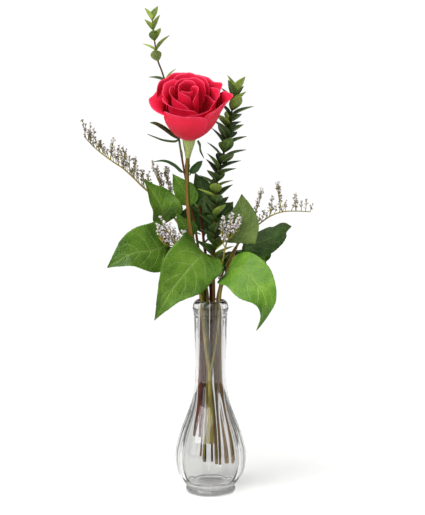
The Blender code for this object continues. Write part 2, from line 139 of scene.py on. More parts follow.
class Shape:
    """Closed shells gathered into one mesh, with a UV map and an upper-side share on each point."""

    def __init__(self):
        self.points, self.faces, self.uvs, self.upper = [], [], [], []

    def sheet(self, along, across, place, thickness):
        """A thin leaf of material on place(u, v): u 0..1 along, v -1..1 across. Its edges thin out."""
        grid = [[place(i / along, 2 * j / across - 1) for j in range(across + 1)]
                for i in range(along + 1)]
        first = len(self.points)
        row = across + 1
        layer = row * (along + 1)
        for side in (0.5, -0.5):
            for i in range(along + 1):
                for j in range(row):
                    down = grid[min(i + 1, along)][j] - grid[max(i - 1, 0)][j]
                    over = grid[i][min(j + 1, across)] - grid[i][max(j - 1, 0)]
                    normal = over.cross(down)
                    if normal.length_squared > 0:
                        normal.normalize()
                    rim = min(along - i, j, across - j) / 2.0
                    thick = thickness * (0.35 + 0.65 * min(rim, 1.0))
                    self.points.append((grid[i][j] + normal * (thick * side)) * MM)
                    self.uvs.append((j / across, i / along))
                    self.upper.append(side + 0.5)
        for i in range(along):
            for j in range(across):
                a = first + i * row + j
                quad = (a, a + 1, a + row + 1, a + row)
                self.faces.append(quad)
                self.faces.append(tuple(p + layer for p in reversed(quad)))
        ring = ([(0, j) for j in range(across)] + [(i, across) for i in range(along)]
                + [(along, j) for j in range(across, 0, -1)] + [(i, 0) for i in range(along, 0, -1)])
        for (i, j), (k, l) in zip(ring, ring[1:] + ring[:1]):
            a, b = first + i * row + j, first + k * row + l
            self.faces.append((b, a, a + layer, b + layer))

    def rod(self, line, radii, sides=10, flat=1.0):
        """A round bar along the line, its radius given at each point, with closed ends."""
        first = len(self.points)
        count = len(line)
        side = None
        for i, (point, radius) in enumerate(zip(line, radii)):
            ahead = (line[min(i + 1, count - 1)] - line[max(i - 1, 0)]).normalized()
            start = side if side is not None else (Vector((0, 1, 0.1)) if abs(ahead.x) > 0.7
                                                   else Vector((1, 0, 0.1)))
            side = (start - ahead * start.dot(ahead)).normalized()
            up = ahead.cross(side)
            for k in range(sides):
                turn = TAU * k / sides
                self.points.append((point + (side * math.cos(turn) + up * (math.sin(turn) * flat))
                                    * radius) * MM)
                self.uvs.append((k / sides, i / (count - 1)))
                self.upper.append(0.5)
        for i in range(count - 1):
            for k in range(sides):
                a, b = first + i * sides + k, first + i * sides + (k + 1) % sides
                self.faces.append((a, b, b + sides, a + sides))
        self.faces.append(tuple(first + k for k in reversed(range(sides))))
        last = first + (count - 1) * sides
        self.faces.append(tuple(last + k for k in range(sides)))

    def mesh(self, name):
        made = bpy.data.meshes.new(name)
        made.from_pydata(self.points, [], self.faces)
        uv_map = made.uv_layers.new(name="UVMap")
        for loop in made.loops:
            uv_map.data[loop.index].uv = self.uvs[loop.vertex_index]
        side = made.attributes.new("upper", "FLOAT", "POINT")
        side.data.foreach_set("value", self.upper)
        made.shade_smooth()
        return made


# ================================================================ materials
def clear_glass():
    """Clear pressed soda glass: bright gloss and faint waviness from the mould bend what is behind it."""
    made, tree, shader = new_material("clear pressed glass")
    place = add(tree, "ShaderNodeTexCoord").outputs["Object"]
    waviness = add(tree, "ShaderNodeTexNoise", {"Vector": place, "Scale": 60.0, "Detail": 2.0})
    haze = add(tree, "ShaderNodeTexNoise", {"Vector": place, "Scale": 240.0, "Detail": 3.0})
    rough = add(tree, "ShaderNodeMapRange", {"Value": haze.outputs["Fac"], "From Min": 0.4, "From Max": 0.7,
                                             "To Min": 0.004, "To Max": 0.02})
    bump = add(tree, "ShaderNodeBump", {"Height": waviness.outputs["Fac"], "Strength": 0.25,
                                        "Distance": 0.0004})
    shader.inputs["Base Color"].default_value = linear("#E4E4E3")
    shader.inputs["Transmission Weight"].default_value = 1.0
    shader.inputs["IOR"].default_value = 1.5
    shader.inputs["Specular IOR Level"].default_value = 0.35
    tree.links.new(rough.outputs["Result"], shader.inputs["Roughness"])
    tree.links.new(bump.outputs["Normal"], shader.inputs["Normal"])
    clear = add(tree, "ShaderNodeBsdfTransparent", {"Color": linear("#E8E8E8")})
    path = add(tree, "ShaderNodeLightPath")
    let_light_in = add(tree, "ShaderNodeMixShader", {0: path.outputs["Is Shadow Ray"],
                                                     1: shader.outputs["BSDF"], 2: clear.outputs["BSDF"]})
    tree.links.new(let_light_in.outputs["Shader"], tree.nodes["Material Output"].inputs["Surface"])
    return made


def rose_petal():
    """Fresh rose petal: a soft velvet bloom, faint veins, painted shade darkening its lower part, a painted highlight
    along its rim, and light glowing through.
    """
    made, tree, shader = new_material("fresh rose petal")
    uv = add(tree, "ShaderNodeUVMap", uv_map="UVMap")
    along = add(tree, "ShaderNodeSeparateXYZ", {"Vector": uv.outputs["UV"]}).outputs["Y"]
    stretched = add(tree, "ShaderNodeMapping", {"Vector": uv.outputs["UV"], "Scale": (26.0, 1.6, 1.0)})
    veins = add(tree, "ShaderNodeTexNoise", {"Vector": stretched.outputs["Vector"], "Scale": 1.0,
                                             "Detail": 4.0, "Roughness": 0.6})
    place = add(tree, "ShaderNodeTexCoord").outputs["Object"]
    blotch = add(tree, "ShaderNodeTexNoise", {"Vector": place, "Scale": 70.0, "Detail": 3.0})
    # painted shade and painted highlight: the red darkens from near the foot to the middle of the petal and turns
    # lighter pink at the rim; only the pale foot is the petal's own colour
    body = add(tree, "ShaderNodeValToRGB", {"Fac": along})
    set_stops(body, [(0.0, "#B8484C"), (0.12, "#A8061A"), (0.5, "#BE0A24"), (0.82, "#DA1438"),
                     (0.965, "#E01C42"), (1.0, "#EE4A6C")])
    deep = add(tree, "ShaderNodeMix", {"Factor": 0.35, "A": body.outputs["Color"], "B": linear("#A80318")},
               data_type="RGBA")
    vein_share = add(tree, "ShaderNodeMapRange", {"Value": veins.outputs["Fac"], "From Min": 0.42,
                                                  "From Max": 0.66, "To Max": 0.4})
    veined = add(tree, "ShaderNodeMix", {"Factor": vein_share.outputs["Result"],
                                         "A": body.outputs["Color"], "B": deep.outputs["Result"]},
                 data_type="RGBA")
    blotch_share = add(tree, "ShaderNodeMapRange", {"Value": blotch.outputs["Fac"], "From Min": 0.35,
                                                    "From Max": 0.7, "To Max": 0.3})
    colour = add(tree, "ShaderNodeMix", {"Factor": blotch_share.outputs["Result"],
                                         "A": veined.outputs["Result"], "B": linear("#D8244C")},
                 data_type="RGBA")
    grain = add(tree, "ShaderNodeTexNoise", {"Vector": place, "Scale": 1600.0, "Detail": 2.0})
    height = add(tree, "ShaderNodeMath", {0: veins.outputs["Fac"], 1: grain.outputs["Fac"]}, operation="ADD")
    bump = add(tree, "ShaderNodeBump", {"Height": height.outputs["Value"], "Strength": 0.18,
                                        "Distance": 0.0002})
    rough = add(tree, "ShaderNodeMapRange", {"Value": blotch.outputs["Fac"], "To Min": 0.5, "To Max": 0.68})
    shader.inputs["Subsurface Weight"].default_value = 0.14
    shader.inputs["Subsurface Radius"].default_value = (1.0, 0.18, 0.22)
    shader.inputs["Subsurface Scale"].default_value = 0.0018
    shader.inputs["Sheen Weight"].default_value = 0.07
    shader.inputs["Sheen Roughness"].default_value = 0.4
    shader.inputs["Sheen Tint"].default_value = linear("#FF9FB4")
    shader.inputs["Specular IOR Level"].default_value = 0.22
    tree.links.new(colour.outputs["Result"], shader.inputs["Base Color"])
    tree.links.new(rough.outputs["Result"], shader.inputs["Roughness"])
    tree.links.new(bump.outputs["Normal"], shader.inputs["Normal"])
    return made


def salal_leaf(name, light, main, dark, vein, gloss):
    """Fresh waxy leaf: a soft gloss, pale midrib and side veins pressed in, and a fine net between them."""
    made, tree, shader = new_material(name)
    uv = add(tree, "ShaderNodeUVMap", uv_map="UVMap")
    parts = add(tree, "ShaderNodeSeparateXYZ", {"Vector": uv.outputs["UV"]})
    across = add(tree, "ShaderNodeMath", {0: parts.outputs["X"], 1: 2.0, 2: -1.0}, operation="MULTIPLY_ADD")
    out = add(tree, "ShaderNodeMath", {0: across.outputs["Value"]}, operation="ABSOLUTE").outputs["Value"]
    # side veins leave the midrib at a slant: seven to a blade, bending towards the tip
    place = add(tree, "ShaderNodeTexCoord").outputs["Object"]
    wander = add(tree, "ShaderNodeTexNoise", {"Vector": place, "Scale": 45.0, "Detail": 2.0})
    bend = add(tree, "ShaderNodeMath", {0: out, 1: 1.35}, operation="POWER")
    slant = add(tree, "ShaderNodeMath", {0: bend.outputs["Value"], 1: -1.7, 2: wander.outputs["Fac"]},
                operation="MULTIPLY_ADD")
    lines = add(tree, "ShaderNodeMath", {0: parts.outputs["Y"], 1: 7.0, 2: slant.outputs["Value"]},
                operation="MULTIPLY_ADD")
    wave = add(tree, "ShaderNodeMath", {0: lines.outputs["Value"], 1: 1.0}, operation="PINGPONG")
    wave2 = add(tree, "ShaderNodeMath", {0: lines.outputs["Value"], 1: 0.5}, operation="PINGPONG")
    side = add(tree, "ShaderNodeMapRange", {"Value": wave2.outputs["Value"], "From Min": 0.0,
                                            "From Max": 0.085, "To Min": 1.0, "To Max": 0.0})
    fade = add(tree, "ShaderNodeMapRange", {"Value": out, "From Min": 0.55, "From Max": 0.95,
                                            "To Min": 0.75, "To Max": 0.0})
    side_vein = add(tree, "ShaderNodeMath", {0: side.outputs["Result"], 1: fade.outputs["Result"]},
                    operation="MULTIPLY")
    rib_width = add(tree, "ShaderNodeMapRange", {"Value": parts.outputs["Y"], "To Min": 0.07, "To Max": 0.05})
    rib = add(tree, "ShaderNodeMapRange", {"Value": out, "From Min": 0.0,
                                           "From Max": rib_width.outputs["Result"], "To Min": 1.0,
                                           "To Max": 0.0})
    veins = add(tree, "ShaderNodeMath", {0: side_vein.outputs["Value"], 1: rib.outputs["Result"]},
                operation="MAXIMUM")
    net = add(tree, "ShaderNodeTexVoronoi", {"Vector": place, "Scale": 380.0}, feature="DISTANCE_TO_EDGE")
    net_line = add(tree, "ShaderNodeMapRange", {"Value": net.outputs["Distance"], "From Max": 0.16,
                                                "To Min": 1.0, "To Max": 0.0})
    patch = add(tree, "ShaderNodeTexNoise", {"Vector": place, "Scale": 38.0, "Detail": 5.0,
                                             "Roughness": 0.62})
    ground = add(tree, "ShaderNodeValToRGB", {"Fac": patch.outputs["Fac"]})
    set_stops(ground, [(0.3, dark), (0.52, main), (0.75, light)])
    near_rib = add(tree, "ShaderNodeMapRange", {"Value": out, "From Max": 0.45, "To Min": 0.35,
                                                "To Max": 0.0})
    warmed = add(tree, "ShaderNodeMix", {"Factor": near_rib.outputs["Result"],
                                         "A": ground.outputs["Color"], "B": linear(light)},
                 data_type="RGBA")
    netted = add(tree, "ShaderNodeMath", {0: net_line.outputs["Result"], 1: 0.16}, operation="MULTIPLY")
    net_on = add(tree, "ShaderNodeMix", {"Factor": netted.outputs["Value"], "A": warmed.outputs["Result"],
                                         "B": linear(vein)}, data_type="RGBA")
    vein_on = add(tree, "ShaderNodeMath", {0: veins.outputs["Value"], 1: 0.34}, operation="MULTIPLY")
    top = add(tree, "ShaderNodeMix", {"Factor": vein_on.outputs["Value"], "A": net_on.outputs["Result"],
                                      "B": linear(vein)}, data_type="RGBA")
    upper = add(tree, "ShaderNodeAttribute", attribute_name="upper")
    below = add(tree, "ShaderNodeMix", {"Factor": 0.5, "A": top.outputs["Result"],
                                        "B": linear("#84985A")}, data_type="RGBA")
    colour = add(tree, "ShaderNodeMix", {"Factor": upper.outputs["Fac"], "A": below.outputs["Result"],
                                         "B": top.outputs["Result"]}, data_type="RGBA")
    puffed = add(tree, "ShaderNodeMath", {0: wave.outputs["Value"], 1: 0.4, 2: 0.0},
                 operation="MULTIPLY_ADD")
    pressed = add(tree, "ShaderNodeMath", {0: veins.outputs["Value"], 1: -0.9, 2: puffed.outputs["Value"]},
                  operation="MULTIPLY_ADD")
    relief = add(tree, "ShaderNodeMath", {0: net_line.outputs["Result"], 1: -0.2,
                                          2: pressed.outputs["Value"]}, operation="MULTIPLY_ADD")
    bump = add(tree, "ShaderNodeBump", {"Height": relief.outputs["Value"], "Strength": 0.6,
                                        "Distance": 0.0006})
    rough = add(tree, "ShaderNodeMapRange", {"Value": patch.outputs["Fac"], "To Min": gloss,
                                             "To Max": gloss + 0.16})
    shader.inputs["Subsurface Weight"].default_value = 0.05
    shader.inputs["Subsurface Radius"].default_value = (0.4, 1.0, 0.15)
    shader.inputs["Subsurface Scale"].default_value = 0.001
    shader.inputs["Specular IOR Level"].default_value = 0.22
    tree.links.new(colour.outputs["Result"], shader.inputs["Base Color"])
    tree.links.new(rough.outputs["Result"], shader.inputs["Roughness"])
    tree.links.new(bump.outputs["Normal"], shader.inputs["Normal"])
    return made


def small_leaf(name, dark, main, light, gloss):
    """Small leathery leaf: dark and smooth above with a pale fold line, greyer below, each a little different."""
    made, tree, shader = new_material(name)
    uv = add(tree, "ShaderNodeUVMap", uv_map="UVMap")
    parts = add(tree, "ShaderNodeSeparateXYZ", {"Vector": uv.outputs["UV"]})
    across = add(tree, "ShaderNodeMath", {0: parts.outputs["X"], 1: 2.0, 2: -1.0}, operation="MULTIPLY_ADD")
    out = add(tree, "ShaderNodeMath", {0: across.outputs["Value"]}, operation="ABSOLUTE").outputs["Value"]
    tone = add(tree, "ShaderNodeAttribute", attribute_name="tone").outputs["Fac"]
    place = add(tree, "ShaderNodeTexCoord").outputs["Object"]
    patch = add(tree, "ShaderNodeTexNoise", {"Vector": place, "Scale": 220.0, "Detail": 3.0})
    spread = add(tree, "ShaderNodeMath", {0: patch.outputs["Fac"], 1: 0.35, 2: tone},
                 operation="MULTIPLY_ADD")
    ground = add(tree, "ShaderNodeValToRGB", {"Fac": spread.outputs["Value"]})
    set_stops(ground, [(0.2, dark), (0.6, main), (1.0, light)])
    rib = add(tree, "ShaderNodeMapRange", {"Value": out, "From Max": 0.16, "To Min": 0.5, "To Max": 0.0})
    top = add(tree, "ShaderNodeMix", {"Factor": rib.outputs["Result"], "A": ground.outputs["Color"],
                                      "B": linear("#8E9A5A")}, data_type="RGBA")
    upper = add(tree, "ShaderNodeAttribute", attribute_name="upper")
    below = add(tree, "ShaderNodeMix", {"Factor": 0.16, "A": top.outputs["Result"],
                                        "B": linear("#7E8E50")}, data_type="RGBA")
    colour = add(tree, "ShaderNodeMix", {"Factor": upper.outputs["Fac"], "A": below.outputs["Result"],
                                         "B": top.outputs["Result"]}, data_type="RGBA")
    bump = add(tree, "ShaderNodeBump", {"Height": patch.outputs["Fac"], "Strength": 0.3,
                                        "Distance": 0.0002})
    rough = add(tree, "ShaderNodeMapRange", {"Value": patch.outputs["Fac"], "To Min": gloss,
                                             "To Max": gloss + 0.2})
    shader.inputs["Specular IOR Level"].default_value = 0.3
    tree.links.new(colour.outputs["Result"], shader.inputs["Base Color"])
    tree.links.new(rough.outputs["Result"], shader.inputs["Roughness"])
    tree.links.new(bump.outputs["Normal"], shader.inputs["Normal"])
    return made


def bark(name, stops, streak, speck, roughness):
    """Stem skin: streaks drawn out along the stem and small specks, with a dull waxy surface."""
    made, tree, shader = new_material(name)
    place = add(tree, "ShaderNodeTexCoord").outputs["Object"]
    drawn = add(tree, "ShaderNodeMapping", {"Vector": place, "Scale": (1.0, 1.0, 0.09)})
    streaks = add(tree, "ShaderNodeTexNoise", {"Vector": drawn.outputs["Vector"], "Scale": streak,
                                               "Detail": 4.0, "Roughness": 0.6})
    patches = add(tree, "ShaderNodeTexNoise", {"Vector": place, "Scale": 42.0, "Detail": 3.0})
    both = add(tree, "ShaderNodeMath", {0: streaks.outputs["Fac"], 1: patches.outputs["Fac"]},
               operation="ADD")
    half = add(tree, "ShaderNodeMath", {0: both.outputs["Value"], 1: 0.5}, operation="MULTIPLY")
    skin = add(tree, "ShaderNodeValToRGB", {"Fac": half.outputs["Value"]})
    set_stops(skin, stops)
    dots = add(tree, "ShaderNodeTexVoronoi", {"Vector": place, "Scale": 520.0})
    dot = add(tree, "ShaderNodeMapRange", {"Value": dots.outputs["Distance"], "From Max": 0.22,
                                           "To Min": 0.5, "To Max": 0.0})
    colour = add(tree, "ShaderNodeMix", {"Factor": dot.outputs["Result"], "A": skin.outputs["Color"],
                                         "B": linear(speck)}, data_type="RGBA")
    bump = add(tree, "ShaderNodeBump", {"Height": streaks.outputs["Fac"], "Strength": 0.6,
                                        "Distance": 0.0005})
    shader.inputs["Roughness"].default_value = roughness
    shader.inputs["Specular IOR Level"].default_value = 0.12
    tree.links.new(colour.outputs["Result"], shader.inputs["Base Color"])
    tree.links.new(bump.outputs["Normal"], shader.inputs["Normal"])
    return made


def rose_stem_skin():
    """Rose stem: green on one side and flushed orange-brown on the other, smooth and slightly waxy."""
    made, tree, shader = new_material("fresh rose stem")
    shape = add(tree, "ShaderNodeNewGeometry")
    facing = add(tree, "ShaderNodeSeparateXYZ", {"Vector": shape.outputs["Normal"]})
    place = add(tree, "ShaderNodeTexCoord").outputs["Object"]
    drawn = add(tree, "ShaderNodeMapping", {"Vector": place, "Scale": (1.0, 1.0, 0.12)})
    streaks = add(tree, "ShaderNodeTexNoise", {"Vector": drawn.outputs["Vector"], "Scale": 520.0,
                                               "Detail": 3.0})
    flush = add(tree, "ShaderNodeMath", {0: facing.outputs["X"], 1: 0.32, 2: streaks.outputs["Fac"]},
                operation="MULTIPLY_ADD")
    colour = add(tree, "ShaderNodeValToRGB", {"Fac": flush.outputs["Value"]})
    set_stops(colour, [(0.22, "#6E4220"), (0.45, "#735526"), (0.6, "#5C5A26"), (0.8, "#3C4A18")])
    bump = add(tree, "ShaderNodeBump", {"Height": streaks.outputs["Fac"], "Strength": 0.4,
                                        "Distance": 0.0003})
    shader.inputs["Roughness"].default_value = 0.45
    shader.inputs["Specular IOR Level"].default_value = 0.15
    tree.links.new(colour.outputs["Color"], shader.inputs["Base Color"])
    tree.links.new(bump.outputs["Normal"], shader.inputs["Normal"])
    return made


def dry_flower():
    """Dried sea-lavender flower: papery, dull and off-white, with lilac in the newest and brown at the base."""
    made, tree, shader = new_material("dried sea-lavender flower")
    uv = add(tree, "ShaderNodeUVMap", uv_map="UVMap")
    along = add(tree, "ShaderNodeSeparateXYZ", {"Vector": uv.outputs["UV"]}).outputs["Y"]
    tone = add(tree, "ShaderNodeAttribute", attribute_name="tone").outputs["Fac"]
    kind = add(tree, "ShaderNodeValToRGB", {"Fac": tone})
    set_stops(kind, [(0.1, "#6E6152"), (0.4, "#A39A8E"), (0.62, "#E4E0D8"), (1.0, "#D6CEDC")])
    place = add(tree, "ShaderNodeTexCoord").outputs["Object"]
    crumple = add(tree, "ShaderNodeTexNoise", {"Vector": place, "Scale": 900.0, "Detail": 3.0})
    base = add(tree, "ShaderNodeMapRange", {"Value": along, "From Min": 0.15, "From Max": 0.6,
                                            "To Min": 0.85, "To Max": 0.0})
    colour = add(tree, "ShaderNodeMix", {"Factor": base.outputs["Result"], "A": kind.outputs["Color"],
                                         "B": linear("#5E5138")}, data_type="RGBA")
    bump = add(tree, "ShaderNodeBump", {"Height": crumple.outputs["Fac"], "Strength": 0.5,
                                        "Distance": 0.0003})
    shader.inputs["Roughness"].default_value = 0.85
    tree.links.new(colour.outputs["Result"], shader.inputs["Base Color"])
    tree.links.new(bump.outputs["Normal"], shader.inputs["Normal"])
    return made


def pale_floor():
    """Matt pale paper: almost white, with a barely seen mottle."""
    made, tree, shader = new_material("matt pale paper")
    place = add(tree, "ShaderNodeTexCoord").outputs["Object"]
    mottle = add(tree, "ShaderNodeTexNoise", {"Vector": place, "Scale": 14.0, "Detail": 4.0})
    colour = add(tree, "ShaderNodeValToRGB", {"Fac": mottle.outputs["Fac"]})
    set_stops(colour, [(0.3, "#F7F7F5"), (0.7, "#F9F9F8")])
    shader.inputs["Roughness"].default_value = 0.9
    shader.inputs["Specular IOR Level"].default_value = 0.1
    tree.links.new(colour.outputs["Color"], shader.inputs["Base Color"])
    return made


# ================================================================ node tools that repeat and follow
def growth_tree():
    """Round stems along the lines of a mesh, and a leaf or flower on each of its loose points.

    Lines carry their radius in "thick". A loose point carries its length in "size", the way it grows in
    "out", the way its upper side faces in "face", and a shade in "tone".
    """
    tree = bpy.data.node_groups.new("grown along a line", "GeometryNodeTree")
    face = tree.interface
    face.new_socket("Geometry", in_out="INPUT", socket_type="NodeSocketGeometry")
    for name, kind, start in (("Stem sides", "Int", 10), ("Leaf", "Object", None), ("Leaf scale", "Float", 1.0),
                              ("Size spread", "Float", 0.12), ("Seed", "Int", 3),
                              ("Stem finish", "Material", None), ("Leaf finish", "Material", None)):
        socket = face.new_socket(name, in_out="INPUT", socket_type="NodeSocket" + kind)
        if start is not None:
            socket.default_value = start
    face.new_socket("Geometry", in_out="OUTPUT", socket_type="NodeSocketGeometry")
    given = add(tree, "NodeGroupInput").outputs
    thick = add(tree, "GeometryNodeInputNamedAttribute", {"Name": "thick"}).outputs["Attribute"]
    size = add(tree, "GeometryNodeInputNamedAttribute", {"Name": "size"}).outputs["Attribute"]
    out = add(tree, "GeometryNodeInputNamedAttribute", {"Name": "out"}, data_type="FLOAT_VECTOR")
    upper = add(tree, "GeometryNodeInputNamedAttribute", {"Name": "face"}, data_type="FLOAT_VECTOR")
    # stems
    lines = add(tree, "GeometryNodeMeshToCurve", {"Mesh": given["Geometry"]})
    section = add(tree, "GeometryNodeCurvePrimitiveCircle", {"Resolution": given["Stem sides"],
                                                             "Radius": 1.0})
    stems = add(tree, "GeometryNodeCurveToMesh", {"Curve": lines.outputs["Curve"],
                                                  "Profile Curve": section.outputs["Curve"],
                                                  "Scale": thick, "Fill Caps": True})
    rounded = add(tree, "GeometryNodeSetShadeSmooth", {"Geometry": stems.outputs["Mesh"]})
    bend = add(tree, "GeometryNodeInputMeshEdgeAngle")
    corner = add(tree, "FunctionNodeCompare", {0: bend.outputs["Unsigned Angle"], 1: 1.2},
                 operation="GREATER_THAN")
    crisp = add(tree, "GeometryNodeSetShadeSmooth", {"Geometry": rounded.outputs["Geometry"],
                                                     "Selection": corner.outputs["Result"],
                                                     "Shade Smooth": False}, domain="EDGE")
    skinned = add(tree, "GeometryNodeSetMaterial", {"Geometry": crisp.outputs["Geometry"],
                                                    "Material": given["Stem finish"]})
    # leaves and flowers
    is_bud = add(tree, "FunctionNodeCompare", {0: size, 1: 0.0}, operation="GREATER_THAN")
    buds = add(tree, "GeometryNodeMeshToPoints", {"Mesh": given["Geometry"],
                                                  "Selection": is_bud.outputs["Result"]})
    turned = add(tree, "FunctionNodeAxesToRotation", {"Primary Axis": out.outputs["Attribute"],
                                                      "Secondary Axis": upper.outputs["Attribute"]},
                 primary_axis="Y", secondary_axis="Z")
    low = add(tree, "ShaderNodeMath", {0: 1.0, 1: given["Size spread"]}, operation="SUBTRACT")
    spread = add(tree, "FunctionNodeRandomValue", {"Min": low.outputs["Value"], "Max": 1.0,
                                                   "Seed": given["Seed"]}, data_type="FLOAT")
    scaled = add(tree, "ShaderNodeMath", {0: size, 1: given["Leaf scale"]}, operation="MULTIPLY")
    varied = add(tree, "ShaderNodeMath", {0: scaled.outputs["Value"],
                                          1: [o for o in spread.outputs if o.enabled][0]},
                 operation="MULTIPLY")
    pattern = add(tree, "GeometryNodeObjectInfo", {"Object": given["Leaf"]})
    leaves = add(tree, "GeometryNodeInstanceOnPoints", {"Points": buds.outputs["Points"],
                                                        "Instance": pattern.outputs["Geometry"],
                                                        "Rotation": turned.outputs["Rotation"],
                                                        "Scale": varied.outputs["Value"]})
    coated = add(tree, "GeometryNodeSetMaterial", {"Geometry": leaves.outputs["Instances"],
                                                   "Material": given["Leaf finish"]})
    both = add(tree, "GeometryNodeJoinGeometry")
    tree.links.new(skinned.outputs["Geometry"], both.inputs["Geometry"])
    tree.links.new(coated.outputs["Geometry"], both.inputs["Geometry"])
    real = add(tree, "GeometryNodeRealizeInstances", {"Geometry": both.outputs["Geometry"]})
    add(tree, "NodeGroupOutput", {"Geometry": real.outputs["Geometry"]})
    return tree


def set_inputs(modifier, values):
    """Sets a node modifier's named inputs by their sockets' identifiers."""
    for item in modifier.node_group.interface.items_tree:
        if item.item_type == "SOCKET" and item.in_out == "INPUT" and item.name in values:
            modifier[item.identifier] = values[item.name]


def grow(name, tree, lines, buds, settings):
    """lines: lists of (point, radius). buds: (point, way out, way its face looks, length, tone)."""
    points, edges, thick, size, out, face, tone = [], [], [], [], [], [], []
    for line in lines:
        for i, (point, radius) in enumerate(line):
            if i:
                edges.append((len(points) - 1, len(points)))
            points.append(Vector(point) * MM)
            thick.append(radius * MM)
            size.append(0.0)
            out.append((0, 0, 1))
            face.append((1, 0, 0))
            tone.append(0.5)
    for point, way, look, length, shade in buds:
        points.append(Vector(point) * MM)
        thick.append(0.0)
        size.append(length * MM)
        out.append(tuple(way))
        face.append(tuple(look))
        tone.append(shade)
    mesh = bpy.data.meshes.new(name)
    mesh.from_pydata(points, edges, [])
    for key, kind, values in (("thick", "FLOAT", thick), ("size", "FLOAT", size), ("tone", "FLOAT", tone),
                              ("out", "FLOAT_VECTOR", out), ("face", "FLOAT_VECTOR", face)):
        field = mesh.attributes.new(key, kind, "POINT")
        if kind == "FLOAT":
            field.data.foreach_set("value", values)
        else:
            field.data.foreach_set("vector", [c for v in values for c in v])
    made = bpy.data.objects.new(name, mesh)
    bpy.context.scene.collection.objects.link(made)
    modifier = made.modifiers.new("growth", "NODES")
    modifier.node_group = tree
    set_inputs(modifier, settings)
    return used_up(made)


# ================================================================ vase
# outer profile (radius, height) from the lip down to the foot; then the inner one
VASE_OUTSIDE = [
    (14.1, 203.0), (15.3, 202.7), (16.4, 201.6), (17.5, 199.6), (18.3, 197.0), (18.5, 194.4),
    (18.1, 191.6), (17.3, 189.6), (17.5, 188.0), (17.1, 186.4), (17.0, 180.0), (16.6, 160.0),
    (16.2, 135.0), (16.5, 118.0), (18.6, 102.0), (22.6, 88.0), (27.6, 75.0), (32.6, 61.0),
    (36.2, 47.0), (37.0, 38.0), (36.3, 28.0), (33.6, 18.5), (28.5, 11.0), (24.6, 7.6),
    (24.9, 6.2), (26.0, 4.6), (26.2, 2.6), (25.3, 0.7), (24.0, 0.0),
]
VASE_INSIDE = [
    (13.4, 202.0), (13.4, 190.0), (13.4, 160.0), (13.4, 135.0), (13.5, 118.0), (15.6, 102.0),
    (19.6, 88.0), (24.6, 75.0), (29.4, 61.0), (32.8, 47.0), (33.6, 38.0), (32.8, 28.0), (29.4, 18.5),
    (23.0, 11.6), (14.0, 8.4), (5.0, 7.6), (0.0, 7.5),
]


def flute_tree():
    """Shallow hollows pressed into the outer skin, evenly round the axis, fading out up and down."""
    tree = bpy.data.node_groups.new("pressed flutes", "GeometryNodeTree")
    face = tree.interface
    face.new_socket("Geometry", in_out="INPUT", socket_type="NodeSocketGeometry")
    for name, start in (("Flutes", 12.0), ("Flute depth", 0.0011), ("Lowest", 0.008), ("Highest", 0.118),
                        ("Fade below", 0.01), ("Fade above", 0.045)):
        face.new_socket(name, in_out="INPUT", socket_type="NodeSocketFloat").default_value = start
    face.new_socket("Glass", in_out="INPUT", socket_type="NodeSocketMaterial")
    face.new_socket("Geometry", in_out="OUTPUT", socket_type="NodeSocketGeometry")
    given = add(tree, "NodeGroupInput").outputs
    place = add(tree, "GeometryNodeInputPosition").outputs["Position"]
    parts = add(tree, "ShaderNodeSeparateXYZ", {"Vector": place}).outputs
    turn = add(tree, "ShaderNodeMath", {0: parts["Y"], 1: parts["X"]}, operation="ARCTAN2")
    phase = add(tree, "ShaderNodeMath", {0: turn.outputs["Value"], 1: given["Flutes"]},
                operation="MULTIPLY")
    wave = add(tree, "ShaderNodeMath", {0: phase.outputs["Value"]}, operation="COSINE")
    hollow = add(tree, "ShaderNodeMath", {0: wave.outputs["Value"], 1: -0.5, 2: 0.5},
                 operation="MULTIPLY_ADD")
    # a rounded hollow between narrow ridges
    shaped = add(tree, "ShaderNodeMath", {0: hollow.outputs["Value"], 1: 0.55}, operation="POWER")
    rise_top = add(tree, "ShaderNodeMath", {0: given["Lowest"], 1: given["Fade below"]}, operation="ADD")
    fall_from = add(tree, "ShaderNodeMath", {0: given["Highest"], 1: given["Fade above"]},
                    operation="SUBTRACT")
    rise = add(tree, "ShaderNodeMapRange", {"Value": parts["Z"], "From Min": given["Lowest"],
                                            "From Max": rise_top.outputs["Value"]},
               interpolation_type="SMOOTHSTEP")
    fall = add(tree, "ShaderNodeMapRange", {"Value": parts["Z"], "From Min": fall_from.outputs["Value"],
                                            "From Max": given["Highest"], "To Min": 1.0, "To Max": 0.0},
               interpolation_type="SMOOTHSTEP")
    skin = add(tree, "GeometryNodeInputNamedAttribute", {"Name": "skin"}).outputs["Attribute"]
    amount = add(tree, "ShaderNodeMath", {0: rise.outputs["Result"], 1: fall.outputs["Result"]},
                 operation="MULTIPLY")
    outside = add(tree, "ShaderNodeMath", {0: amount.outputs["Value"], 1: skin}, operation="MULTIPLY")
    cut = add(tree, "ShaderNodeMath", {0: outside.outputs["Value"], 1: shaped.outputs["Value"]},
              operation="MULTIPLY")
    deep = add(tree, "ShaderNodeMath", {0: cut.outputs["Value"], 1: given["Flute depth"]},
               operation="MULTIPLY")
    inward = add(tree, "ShaderNodeVectorMath", {0: place, 1: (-1.0, -1.0, 0.0)}, operation="MULTIPLY")
    way = add(tree, "ShaderNodeVectorMath", {0: inward.outputs["Vector"]}, operation="NORMALIZE")
    push = add(tree, "ShaderNodeVectorMath", {0: way.outputs["Vector"], "Scale": deep.outputs["Value"]},
               operation="SCALE")
    moved = add(tree, "GeometryNodeSetPosition", {"Geometry": given["Geometry"],
                                                  "Offset": push.outputs["Vector"]})
    rounded = add(tree, "GeometryNodeSetShadeSmooth", {"Geometry": moved.outputs["Geometry"]})
    real = add(tree, "GeometryNodeRealizeInstances", {"Geometry": rounded.outputs["Geometry"]})
    filled = add(tree, "GeometryNodeSetMaterial", {"Geometry": real.outputs["Geometry"],
                                                   "Material": given["Glass"]})
    add(tree, "NodeGroupOutput", {"Geometry": filled.outputs["Geometry"]})
    return tree


